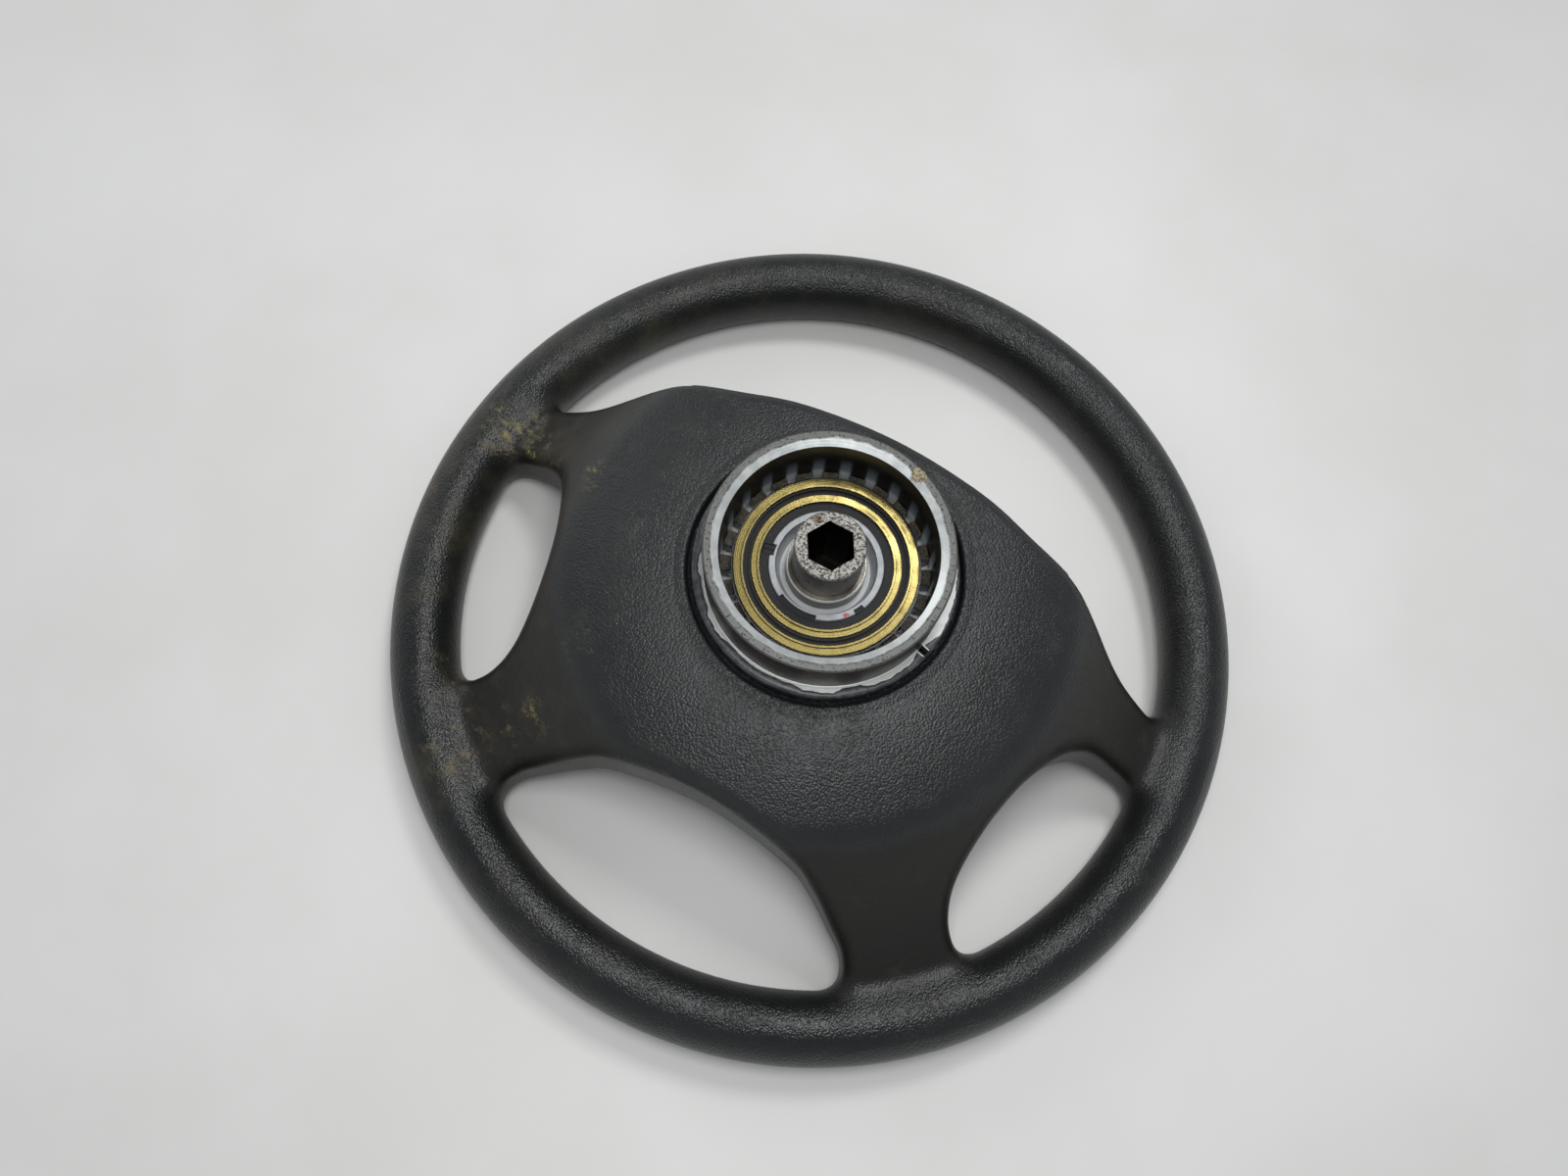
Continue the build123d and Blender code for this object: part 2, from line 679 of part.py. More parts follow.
terminal_low_z = sleeve_low_z - terminal_out
for name, radii, place in (
    ("outer", outer_ring_r, outer_terminal),
    ("inner", inner_ring_r, inner_terminal),
):
    with BuildPart() as brass_ring:
        add(slip_ring(radii))
    write(brass_ring, f"{name}_slip_ring")
    with BuildPart() as terminal:
        with BuildSketch(Plane.XY.offset(terminal_low_z)):
            with Locations(place):
                Circle(terminal_r)
        extrude(amount=ring_seat_z - terminal_low_z)
    write(terminal, f"{name}_ring_terminal")

# ---------------------------------------------------------------- fixed horn contact
insulator_z = plate_front_z - insulator_h
with BuildPart() as contact_insulator:
    with BuildSketch(Plane.XY.offset(insulator_z)):
        with Locations((0, contact_y)):
            RectangleRounded(*insulator_size, insulator_corner_r)
            Circle(contact_r + seat_gap, mode=Mode.SUBTRACT)
        with Locations(*insulator_screw_places):
            Circle(insulator_screw_r + seat_gap, mode=Mode.SUBTRACT)
    extrude(amount=insulator_h)
write(contact_insulator, "contact_insulator")

with BuildPart() as insulator_screws:
    with BuildSketch(Plane.XY.offset(insulator_z)):
        with Locations(*insulator_screw_places):
            Circle(insulator_screw_r)
    extrude(amount=mount_z - insulator_z)
    with BuildSketch(Plane.XY.offset(insulator_z - insulator_head_h)):
        with Locations(*insulator_screw_places):
            Circle(insulator_head_r)
    extrude(amount=insulator_head_h)
write(insulator_screws, "insulator_screws")

with BuildPart() as fixed_contact:
    with BuildSketch(Plane.XY.offset(contact_z)):
        with Locations((0, contact_y)):
            Circle(contact_r)
    extrude(amount=plate_front_z - contact_bury - contact_z)
write(fixed_contact, "fixed_contact")

# ---------------------------------------------------------------- return tag and its screw
tag_low_z = plate_front_z - tag_t - seat_gap
with BuildPart() as return_tag:
    with BuildSketch(Plane.XY.offset(tag_low_z)):
        with Locations((0, tag_eye_y)):
            Circle(tag_eye_r)
        with Locations((0, tag_pin_y + tag_reach / 2)):
            Rectangle(tag_w, tag_reach)
        with Locations((0, tag_pin_y)):
            Circle(tag_pin_r)
        with Locations((0, tag_eye_y)):
            Circle(tag_screw_r + seat_gap, mode=Mode.SUBTRACT)
    extrude(amount=tag_t)
    with BuildSketch(Plane.XY.offset(tag_low_z - tag_pin_h)):
        with Locations((0, tag_pin_y)):
            Circle(tag_pin_r)
    extrude(amount=tag_pin_h)
write(return_tag, "return_tag")

with BuildPart() as tag_screw:
    with BuildSketch(Plane.XY.offset(tag_low_z)):
        with Locations((0, tag_eye_y)):
            Circle(tag_screw_r)
    extrude(amount=mount_z - tag_low_z)
    with BuildSketch(Plane.XY.offset(tag_low_z - tag_head_h)):
        with Locations((0, tag_eye_y)):
            Circle(tag_head_r)
    extrude(amount=tag_head_h)
write(tag_screw, "tag_screw")

# ---------------------------------------------------------------- horn leads
# Each runs level between the pad's plate and the hub plate, from a ring's terminal to its contact.
lead_z = pad_plate_top + horn_travel + lead_lift
outer_x, outer_y = outer_terminal
inner_x, inner_y = inner_terminal
insulator_x = -insulator_size[0] / 2
live_route = (
    (outer_x, outer_y, terminal_low_z),
    (outer_x, outer_y, lead_z),
    (outer_x + 4, outer_y - 36, lead_z + 0.4),
    (insulator_x - 11, contact_y, lead_z + 3),
    (insulator_x, contact_y, lead_z + 3),
)
return_route = (
    (inner_x, inner_y, terminal_low_z),
    (inner_x, inner_y, lead_z),
    (inner_x - 12, inner_y + 17, lead_z + 0.5),
    (0, tag_pin_y, lead_z),
    (0, tag_pin_y, tag_low_z - tag_pin_h),
)
for name, route, radii in (
    ("live", live_route, [3.2, 12, 8]),
    ("return", return_route, [3.2, 9, 3.2]),
):
    with BuildPart() as horn_lead:
        with BuildLine() as wire:
            FilletPolyline(*route, radius=radii)
        with BuildSketch(Plane(origin=wire.line @ 0, z_dir=wire.line % 0)):
            Circle(lead_r)
        sweep(path=wire.line)
    write(horn_lead, f"horn_lead_{name}")

# ---------------------------------------------------------------- horn pad
pad_inner = (pad_w - 2 * pad_wall, pad_h - 2 * pad_wall)
pad_inner_corner = pad_corner_r - pad_wall
with BuildPart() as pad_cover:
    with BuildSketch(Plane.XY.offset(pad_front_z)):
        with Locations((0, pad_centre_y)):
            RectangleRounded(pad_w, pad_h, pad_corner_r)
    extrude(amount=pad_skirt)
    fillet(pad_cover.edges().group_by(Axis.Z)[0], pad_edge_r)
    with BuildSketch(Plane.XY.offset(pad_front_z + pad_front_t)):
        with Locations((0, pad_centre_y)):
            RectangleRounded(*pad_inner, pad_inner_corner)
    extrude(amount=pad_skirt, mode=Mode.SUBTRACT)
    with BuildSketch(Plane.XY.offset(pad_front_z + pad_front_t)):
        with Locations(*pad_screw_places):
            Circle(pad_boss_r)
    extrude(amount=pad_plate_z - pad_front_z - pad_front_t)
    with BuildSketch(Plane.XY.offset(pad_plate_z - pad_screw_len)):
        with Locations(*pad_screw_places):
            Circle(pad_screw_r + seat_gap)
    extrude(amount=pad_screw_len, mode=Mode.SUBTRACT)
write(pad_cover, "pad_cover")

with BuildPart() as pad_plate:
    with BuildSketch(Plane.XY.offset(pad_plate_z)):
        with Locations((0, pad_centre_y)):
            RectangleRounded(
                pad_inner[0] - 2 * slide_gap, pad_inner[1] - 2 * slide_gap, pad_inner_corner - slide_gap
            )
        with Locations(*guide_places):
            Circle(guide_r + slide_gap, mode=Mode.SUBTRACT)
        with Locations(*pad_screw_places):
            Circle(pad_screw_r + seat_gap, mode=Mode.SUBTRACT)
        with Locations((0, contact_y)):
            Circle(rivet_shank_r + seat_gap, mode=Mode.SUBTRACT)
    extrude(amount=pad_plate_t)
write(pad_plate, "pad_plate")

with BuildPart() as pad_screws:
    with BuildSketch(Plane.XY.offset(pad_plate_z - pad_screw_len + pad_screw_tip_gap)):
        with Locations(*pad_screw_places):
            Circle(pad_screw_r)
    extrude(amount=pad_screw_len - pad_screw_tip_gap + pad_plate_t)
    with BuildSketch(Plane.XY.offset(pad_plate_top)):
        with Locations(*pad_screw_places):
            Circle(pad_screw_head_r)
    extrude(amount=pad_screw_head_h)
write(pad_screws, "pad_screws")

with BuildPart() as moving_contact:
    with BuildSketch(Plane.XY.offset(pad_plate_top)):
        with Locations((0, contact_y)):
            Circle(rivet_r)
    extrude(amount=rivet_h)
    with BuildSketch(Plane.XY.offset(pad_plate_z)):
        with Locations((0, contact_y)):
            Circle(rivet_shank_r)
    extrude(amount=pad_plate_t)
write(moving_contact, "moving_contact")

# ---------------------------------------------------------------- guide screws and springs
with BuildPart() as guide_screws:
    with BuildSketch(Plane.XY.offset(pad_plate_z)):
        with Locations(*guide_places):
            Circle(guide_r)
    extrude(amount=mount_z - pad_plate_z)
    with BuildSketch(Plane.XY.offset(pad_plate_z - guide_head_h)):
        with Locations(*guide_places):
            Circle(guide_head_r)
    extrude(amount=guide_head_h)
write(guide_screws, "guide_screws")

spring_low_z = pad_plate_top + spring_wire_r + seat_gap
spring_h = plate_front_z - spring_wire_r - seat_gap - spring_low_z
with BuildPart() as pad_springs:
    for x, y in guide_places:
        with BuildLine() as coil:
            Helix(spring_h / spring_turns, spring_h, spring_r, center=(x, y, spring_low_z))
        with BuildSketch(Plane(origin=coil.line @ 0, z_dir=coil.line % 0)):
            Circle(spring_wire_r)
        sweep(path=coil.line, is_frenet=True)
write(pad_springs, "pad_springs")
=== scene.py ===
"""Four-spoke steering wheel, lying on its rim with the steering-column side up.

Metres; the frame is the CAD model's. The foam grip is one smooth moulding, so it is meshed here
from a formula; the hub's turned, cast and moulded pieces keep their CAD shapes.
"""

from math import cos, pi, radians, sin

import bpy
import numpy as np
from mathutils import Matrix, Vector


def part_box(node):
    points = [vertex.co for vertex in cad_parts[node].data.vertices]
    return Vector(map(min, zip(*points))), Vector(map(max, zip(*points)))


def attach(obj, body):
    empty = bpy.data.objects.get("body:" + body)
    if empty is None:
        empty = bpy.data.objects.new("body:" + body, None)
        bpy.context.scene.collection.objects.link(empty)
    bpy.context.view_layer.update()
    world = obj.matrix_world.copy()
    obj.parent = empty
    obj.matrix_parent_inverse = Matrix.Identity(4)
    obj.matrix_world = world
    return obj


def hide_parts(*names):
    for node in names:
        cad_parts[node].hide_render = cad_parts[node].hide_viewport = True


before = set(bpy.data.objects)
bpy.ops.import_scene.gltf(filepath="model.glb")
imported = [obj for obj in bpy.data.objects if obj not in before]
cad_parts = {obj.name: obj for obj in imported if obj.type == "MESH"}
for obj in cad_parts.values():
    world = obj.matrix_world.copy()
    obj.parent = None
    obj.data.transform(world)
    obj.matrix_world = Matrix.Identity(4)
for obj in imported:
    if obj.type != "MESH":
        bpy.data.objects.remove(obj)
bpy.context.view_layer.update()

MM = 0.001

# ------------------------------------------------------------------ sizes, from the frame
grip_low, grip_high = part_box("foam_grip")
core_low, core_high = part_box("rim_core")
casting_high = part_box("hub_casting")[1]
pad_low, pad_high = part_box("pad_cover")
plate_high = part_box("hub_plate")[1]

rim_z = (core_low.z + core_high.z) / 2
rim_half_h = rim_z - grip_low.z
core_rod_r = (core_high.z - core_low.z) / 2
rim_r = (core_high.x - core_low.x) / 2 - core_rod_r
rim_half_w = grip_high.x - rim_r
rim_in_r = rim_r - rim_half_w
flange_r = casting_high.y
collar_top = casting_high.z
plateau_z = grip_high.z + 0.6 * MM
collar_r = 57.4 * MM
flange_top = plateau_z + 2.9 * MM
pad_centre_y = (pad_low.y + pad_high.y) / 2


# ------------------------------------------------------------------ mesh helpers
def mesh_object(name, points, faces, material, normals=None, smooth=True):
    """A mesh object at the origin from arrays of points and faces, with its material."""
    mesh = bpy.data.meshes.new(name)
    mesh.from_pydata(points.tolist(), [], faces.tolist())
    mesh.materials.append(material)
    if smooth:
        mesh.shade_smooth()
    if normals is not None:
        mesh.normals_split_custom_set_from_vertices(normals.tolist())
    made = bpy.data.objects.new(name, mesh)
    bpy.context.scene.collection.objects.link(made)
    return made


def grid_faces(rows, columns, close_rows=True, close_columns=True):
    """Quads of a grid of rows by columns points; a closed direction joins its last to its first."""
    i = np.arange(rows if close_rows else rows - 1)
    j = np.arange(columns if close_columns else columns - 1)
    i, j = (a.ravel() for a in np.meshgrid(i, j, indexing="ij"))
    down, right = (i + 1) % rows, (j + 1) % columns
    return np.stack([i * columns + j, down * columns + j, down * columns + right, i * columns + right], 1)


def ripple(angle, waves, seed):
    """Sum of cosines round a circle, each wave count with a random phase and size; about -1 to 1."""
    dice = np.random.default_rng(seed)
    size = dice.uniform(0.5, 1.0, len(waves))
    phase = dice.uniform(0, 2 * pi, len(waves))
    total = sum(s * np.cos(w * angle + p) for s, w, p in zip(size, waves, phase))
    return total / size.sum()


def lathe(name, profile, material, segments=240):
    """Closed ring: point (r, z) of the profile is carried round the axis, x = r cos a, y = r sin a.

    profile is an array (points, 2), or a function of the angles that returns (angles, points, 2).
    """
    angle = np.linspace(0, 2 * pi, segments, endpoint=False)
    section = profile(angle) if callable(profile) else np.broadcast_to(profile, (segments, *profile.shape))
    r, z = section[..., 0], section[..., 1]
    points = np.stack([r * np.cos(angle)[:, None], r * np.sin(angle)[:, None], z], -1)
    faces = grid_faces(segments, section.shape[1])
    return mesh_object(name, points.reshape(-1, 3), faces, material)


# ------------------------------------------------------------------ the foam grip's formula
def bezier(control, steps=60):
    """Points of a cubic Bezier curve."""
    t = np.linspace(0, 1, steps)[:, None]
    a, b, c, d = (np.array(p, float) for p in control)
    return a * (1 - t) ** 3 + 3 * b * t * (1 - t) ** 2 + 3 * c * t**2 * (1 - t) + d * t**3


def smooth_min(a, b, k):
    """The lesser of two fields, blended over k where they are close."""
    h = np.maximum(k - np.abs(a - b), 0) / k
    return np.minimum(a, b) - h * h * k / 4


def round_max(a, b, radius):
    """The greater of two distances, with the edge between them rounded to a radius."""
    u, v = np.maximum(a + radius, 0), np.maximum(b + radius, 0)
    return np.minimum(np.maximum(a, b), -radius) + np.hypot(u, v)


# Edges of the spoke openings: bearing from twelve o'clock, and reach from flange to grip.
top_edge = ((0, 0.12), (33.1, 0.201), (50.7, 0.324), (62.4, 0.487), (74.2, 0.712), (78.1, 0.919),
            (80.4, 1.108))
side_edge = (
    (90.0, 1.085), (90.3, 0.801), (93.1, 0.677), (99.1, 0.603), (108.2, 0.571),
    (118.2, 0.609), (126.2, 0.710), (129.4, 0.825), (129.9, 0.947), (129.5, 1.143),
)
bottom_edge = ((180, 0.435), (159.4, 0.540), (153.6, 0.644), (150.0, 0.769), (148.0, 0.875), (147.8, 1.046))


def mirrored(edge):
    """An edge from its left end to its right end, through the middle."""
    return [(-bearing, reach) for bearing, reach in reversed(edge[1:])] + list(edge)


def opening_outline(edge):
    """Closed plan outline of an opening: a Catmull-Rom curve along its edge, closed beyond the rim."""
    knots = np.array([
        ((flange_r + reach * (rim_in_r - flange_r)) * sin(radians(bearing)),
         (flange_r + reach * (rim_in_r - flange_r)) * cos(radians(bearing)))
        for bearing, reach in edge
    ])
    knots = np.vstack([2 * knots[0] - knots[1], knots, 2 * knots[-1] - knots[-2]])
    t = np.linspace(0, 1, 9)[:-1, None, None]
    p0, p1, p2, p3 = (knots[k : len(knots) - 3 + k] for k in range(4))
    curve = 0.5 * (2 * p1 + (p2 - p0) * t + (2 * p0 - 5 * p1 + 4 * p2 - p3) * t**2
                   + (3 * p1 - p0 - 3 * p2 + p3) * t**3)
    curve = np.vstack([curve.transpose(1, 0, 2).reshape(-1, 2), knots[-2]])
    start, end = (np.arctan2(p[1], p[0]) for p in (curve[-1], curve[0]))
    middle = curve[0] + curve[-1]
    sweep = np.arctan2(middle[1], middle[0])
    half = abs((end - sweep + pi) % (2 * pi) - pi)
    side = np.sign((start - sweep + pi) % (2 * pi) - pi)
    back = sweep + side * np.linspace(half, -half, 40)
    far = 1.12 * rim_r
    return np.vstack([curve, np.stack([far * np.cos(back), far * np.sin(back)], 1)])


outlines = [opening_outline(mirrored(top_edge)), opening_outline(side_edge),
            opening_outline(mirrored(bottom_edge))]


def plan_distance(x, y, outline):
    """Signed distance in plan to a closed outline, less than zero inside it."""
    nearest = np.full(x.shape, np.inf)
    inside = np.zeros(x.shape, bool)
    for (x0, y0), (x1, y1) in zip(outline, np.roll(outline, -1, axis=0)):
        dx, dy = x1 - x0, y1 - y0
        t = np.clip(((x - x0) * dx + (y - y0) * dy) / (dx * dx + dy * dy + 1e-18), 0, 1)
        nearest = np.minimum(nearest, (x - x0 - t * dx) ** 2 + (y - y0 - t * dy) ** 2)
        if y0 != y1:
            crosses = ((y0 <= y) != (y1 <= y)) & (x < x0 + (y - y0) * dx / dy)
            inside ^= crosses
    return np.where(inside, -1, 1) * np.sqrt(nearest)


spoke_curve = bezier([(112, 110), (138, 97), (158, 44), (207, 25)]) * MM
front_curve = bezier([(100, 54), (140, 54), (152, 8), (207, 8)]) * MM

plan_step = 0.75 * MM
plan_x = np.arange(0, 0.232, plan_step)
plan_y = np.arange(-0.232, 0.232, plan_step)
plan_table = -np.minimum.reduce(
    [plan_distance(*np.meshgrid(plan_x, plan_y, indexing="ij"), outline) for outline in outlines]
)


def spokes_plan(x, y):
    """Distance in plan to the spoked body, less than zero inside it; the body mirrors about x = 0."""
    u = np.clip(np.abs(x) / plan_step, 0, len(plan_x) - 1.001)
    v = np.clip((y - plan_y[0]) / plan_step, 0, len(plan_y) - 1.001)
    i, j = u.astype(int), v.astype(int)
    u, v = u - i, v - j
    near = plan_table[i, j] * (1 - u) + plan_table[i + 1, j] * u
    far = plan_table[i, j + 1] * (1 - u) + plan_table[i + 1, j + 1] * u
    return near * (1 - v) + far * v


def grip_field(x, y, z, plan):
    """Less than zero inside the foam.

    The rim is an oval carried round the axis. The body is the spoked plan between a top that falls
    from the plateau to the rim and a front that follows it, with rounded edges. The two are
    blended, and the pad's recess, the hub plate's seat and the collar's hole are taken away.
    """
    r = np.hypot(x, y)
    across, along = (r - rim_r) / rim_half_w, (z - rim_z) / rim_half_h
    k0 = np.hypot(across, along) + 1e-9
    k1 = np.hypot(across / rim_half_w, along / rim_half_h) + 1e-9
    rim = k0 * (k0 - 1) / k1
    plateau = plateau_z - 3.4 * np.maximum(r - 66 * MM, 0) ** 2
    fall = np.interp(r, spoke_curve[:, 0], spoke_curve[:, 1])
    top = smooth_min(plateau, np.where(r < 0.112, plateau + 0.01, fall), 3 * MM)
    front = np.interp(r, front_curve[:, 0], front_curve[:, 1])
    steep = 0.78
    body = round_max(plan, (z - top) * np.where(r < 0.119, 1, steep), 7.5 * MM)
    body = round_max(body, (front - z) * np.where(r < 0.119, 1, steep), 3.5 * MM)
    body = np.maximum(body, r - rim_r)
    field = smooth_min(body, rim, 14 * MM)
    half_w = (pad_high.x - pad_low.x) / 2 + 1.2 * MM
    half_h = (pad_high.y - pad_low.y) / 2 + 1.2 * MM
    corner = 37.2 * MM
    qx, qy = np.abs(x) - half_w + corner, np.abs(y - pad_centre_y) - half_h + corner
    recess = np.hypot(np.maximum(qx, 0), np.maximum(qy, 0)) + np.minimum(np.maximum(qx, qy), 0) - corner
    recess_low = round_max(recess, z - 74 * MM, 2 * MM)
    seat = np.maximum(np.maximum(recess, r - 72 * MM), z - plate_high.z)
    hole = np.maximum(r - collar_r - 0.1 * MM, 82 * MM - z)
    lip_seat = np.maximum(r - 67.2 * MM, 104 * MM - z)
    for cut in (recess_low, seat, hole, lip_seat):
        field = -smooth_min(-field, cut, 1.5 * MM)
    return np.maximum(field, grip_low.z - z)


def surface_net(values, low, cell):
    """Quads and points of the zero surface of a grid of values.

    Each cell that the surface passes through gets one point, the mean of where it crosses the
    cell's edges; each grid edge that it crosses gets one quad, round the four cells that share it.
    """
    inside = values < 0
    total = np.zeros((*[n - 1 for n in values.shape], 3))
    count = np.zeros(total.shape[:3])
    for axis in range(3):
        first = [slice(None)] * 3
        second = [slice(None)] * 3
        first[axis], second[axis] = slice(0, -1), slice(1, None)
        a, b = values[tuple(first)], values[tuple(second)]
        crossed = inside[tuple(first)] != inside[tuple(second)]
        with np.errstate(divide="ignore", invalid="ignore"):
            t = np.where(crossed, a / (a - b), 0)
        others = [k for k in range(3) if k != axis]
        for du in (0, 1):
            for dv in (0, 1):
                pick = [slice(0, n - 1) for n in values.shape]
                pick[others[0]] = slice(du, values.shape[others[0]] - 1 + du)
                pick[others[1]] = slice(dv, values.shape[others[1]] - 1 + dv)
                hit = crossed[tuple(pick)]
                count += hit
                total[..., axis] += np.where(hit, t[tuple(pick)], 0)
                total[..., others[0]] += hit * du
                total[..., others[1]] += hit * dv
    active = count > 0
    index = np.full(active.shape, -1)
    index[active] = np.arange(active.sum())
    where = np.argwhere(active)
    points = low + cell * (where + total[active] / count[active][:, None])
    quads = []
    for axis in range(3):
        u, v = [k for k in range(3) if k != axis]
        first = [slice(1, -1)] * 3
        second = [slice(1, -1)] * 3
        first[axis], second[axis] = slice(0, -1), slice(1, None)
        a, b = inside[tuple(first)], inside[tuple(second)]
        at = np.argwhere(a != b)
        grown = a[tuple(at.T)]
        base = at.copy()
        base[:, u] += 1
        base[:, v] += 1
        ring = []
        for du, dv in ((1, 1), (0, 1), (0, 0), (1, 0)):
            corner = base.copy()
            corner[:, u] -= du
            corner[:, v] -= dv
            ring.append(index[tuple(corner.T)])
        quad = np.stack(ring, 1)
        flip = grown if axis != 1 else ~grown
        quad[~flip] = quad[~flip][:, ::-1]
        quads.append(quad)
    return points, np.vstack(quads)


def foam_grip_mesh(cell):
    """Points, quads and normals of the foam grip; points are drawn onto the exact surface."""
    margin = 3 * cell
    low = np.array([grip_low.x - margin, grip_low.y - margin, grip_low.z - margin])
    high = np.array([grip_high.x + margin, grip_high.y + margin, grip_high.z + margin + 2 * MM])
    x, y, z = (np.arange(a, b, cell) for a, b in zip(low, high))
    gx, gy = np.meshgrid(x, y, indexing="ij")
    plan = spokes_plan(gx, gy)
    values = grip_field(gx[..., None], gy[..., None], z[None, None, :], plan[..., None])
    points, quads = surface_net(values, low, cell)

    def value_at(p):
        return grip_field(p[:, 0], p[:, 1], p[:, 2], spokes_plan(p[:, 0], p[:, 1]))

    step = 0.5 * MM
    shifts = np.eye(3) * step
    for _ in range(3):
        slope = np.stack([(value_at(points + s) - value_at(points - s)) / (2 * step) for s in shifts], 1)
        size = (slope**2).sum(1)
        move = value_at(points)[:, None] * slope / np.maximum(size, 0.25)[:, None]
        points = points - np.clip(move, -cell, cell)
    normals = slope / np.sqrt((slope**2).sum(1))[:, None]
    return points, quads, normals


# ------------------------------------------------------------------ materials
def linear(code, alpha=1.0):
    """sRGB hex to linear RGBA."""
    parts = [int(code[i : i + 2], 16) / 255 for i in (1, 3, 5)]
    return (*[c / 12.92 if c <= 0.04045 else ((c + 0.055) / 1.055) ** 2.4 for c in parts], alpha)


def add(tree, kind, *values, out=None, **settings):
    """Add a shader node with its settings, set or link its inputs, and give one of its outputs.

    The values go to the open inputs in their order, or by name when they come as one dict.
    """
    node = tree.nodes.new("ShaderNode" + kind)
    for key, value in settings.items():
        setattr(node, key, value)
    if values and isinstance(values[0], dict):
        pairs = [(node.inputs[key], value) for key, value in values[0].items()]
    else:
        pairs = zip([socket for socket in node.inputs if socket.enabled], values)
    for socket, value in pairs:
        if isinstance(value, bpy.types.NodeSocket):
            tree.links.new(value, socket)
        else:
            socket.default_value = value
    return node.outputs[out] if out is not None else next(s for s in node.outputs if s.enabled)


def start(name, **surface):
    """A new material with its tree, its shader and its Object coordinates."""
    material = bpy.data.materials.new(name)
    material.use_nodes = True
    tree = material.node_tree
    shader = tree.nodes["Principled BSDF"]
    for key, value in surface.items():
        shader.inputs[key.replace("_", " ")].default_value = value
    place = add(tree, "TexCoord", out="Object")
    return material, tree, shader, place


def polar_parts(tree, place):
    """Radius from the wheel's axis, and height."""
    flat = add(tree, "VectorMath", place, (1, 1, 0), operation="MULTIPLY")
    radius = add(tree, "VectorMath", flat, operation="LENGTH")
    return radius, add(tree, "SeparateXYZ", place, out=2)


def spot(tree, place, centre, core, edge):
    """1 within core of a point, falling to 0 at edge."""
    away = add(tree, "VectorMath", place, centre, operation="DISTANCE")
    return zone(tree, (away, edge, core))


def zone(tree, *edges):
    """1 inside a zone and 0 outside; each edge is a value, where its step begins and where it ends."""
    inside = None
    for value, begin, end in edges:
        step = add(tree, "MapRange", value, begin, end, interpolation_type="SMOOTHSTEP")
        inside = add(tree, "Math", inside, step, operation="MULTIPLY") if inside else step
    return inside


def finish_surface(tree, shader, colour=None, roughness=None, metallic=None, height=None, depth=0.1,
                   strength=1.0):
    """Link the parts of a finish to the shader; depth of the relief is in millimetres."""
    if colour:
        tree.links.new(colour, shader.inputs["Base Color"])
    if roughness:
        tree.links.new(roughness, shader.inputs["Roughness"])
    if metallic:
        tree.links.new(metallic, shader.inputs["Metallic"])
    if height:
        bump = add(tree, "Bump", {"Height": height, "Distance": depth * MM, "Strength": strength})
        tree.links.new(bump, shader.inputs["Normal"])


# Where dust and scuffs lie on the grip: place in millimetres, radius, and how thick.
dust_places = (((-194, 12, 42), 24, 0.85), ((-176, 5, 46), 17, 0.8), ((-160, 0, 60), 18, 0.35),
               ((-124, -5, 98), 10, 0.75), ((-120, -16, 100), 9, 0.5), ((-215, -38, 26), 24, 0.4),
               ((-109, -138, 58), 22, 0.6), ((-94, -122, 70), 16, 0.6), ((-127, -148, 34), 26, 0.5),
               ((-150, -120, 40), 22, 0.35), ((-83, -82, 100), 16, 0.3), ((150, -50, 70), 22, 0.25))


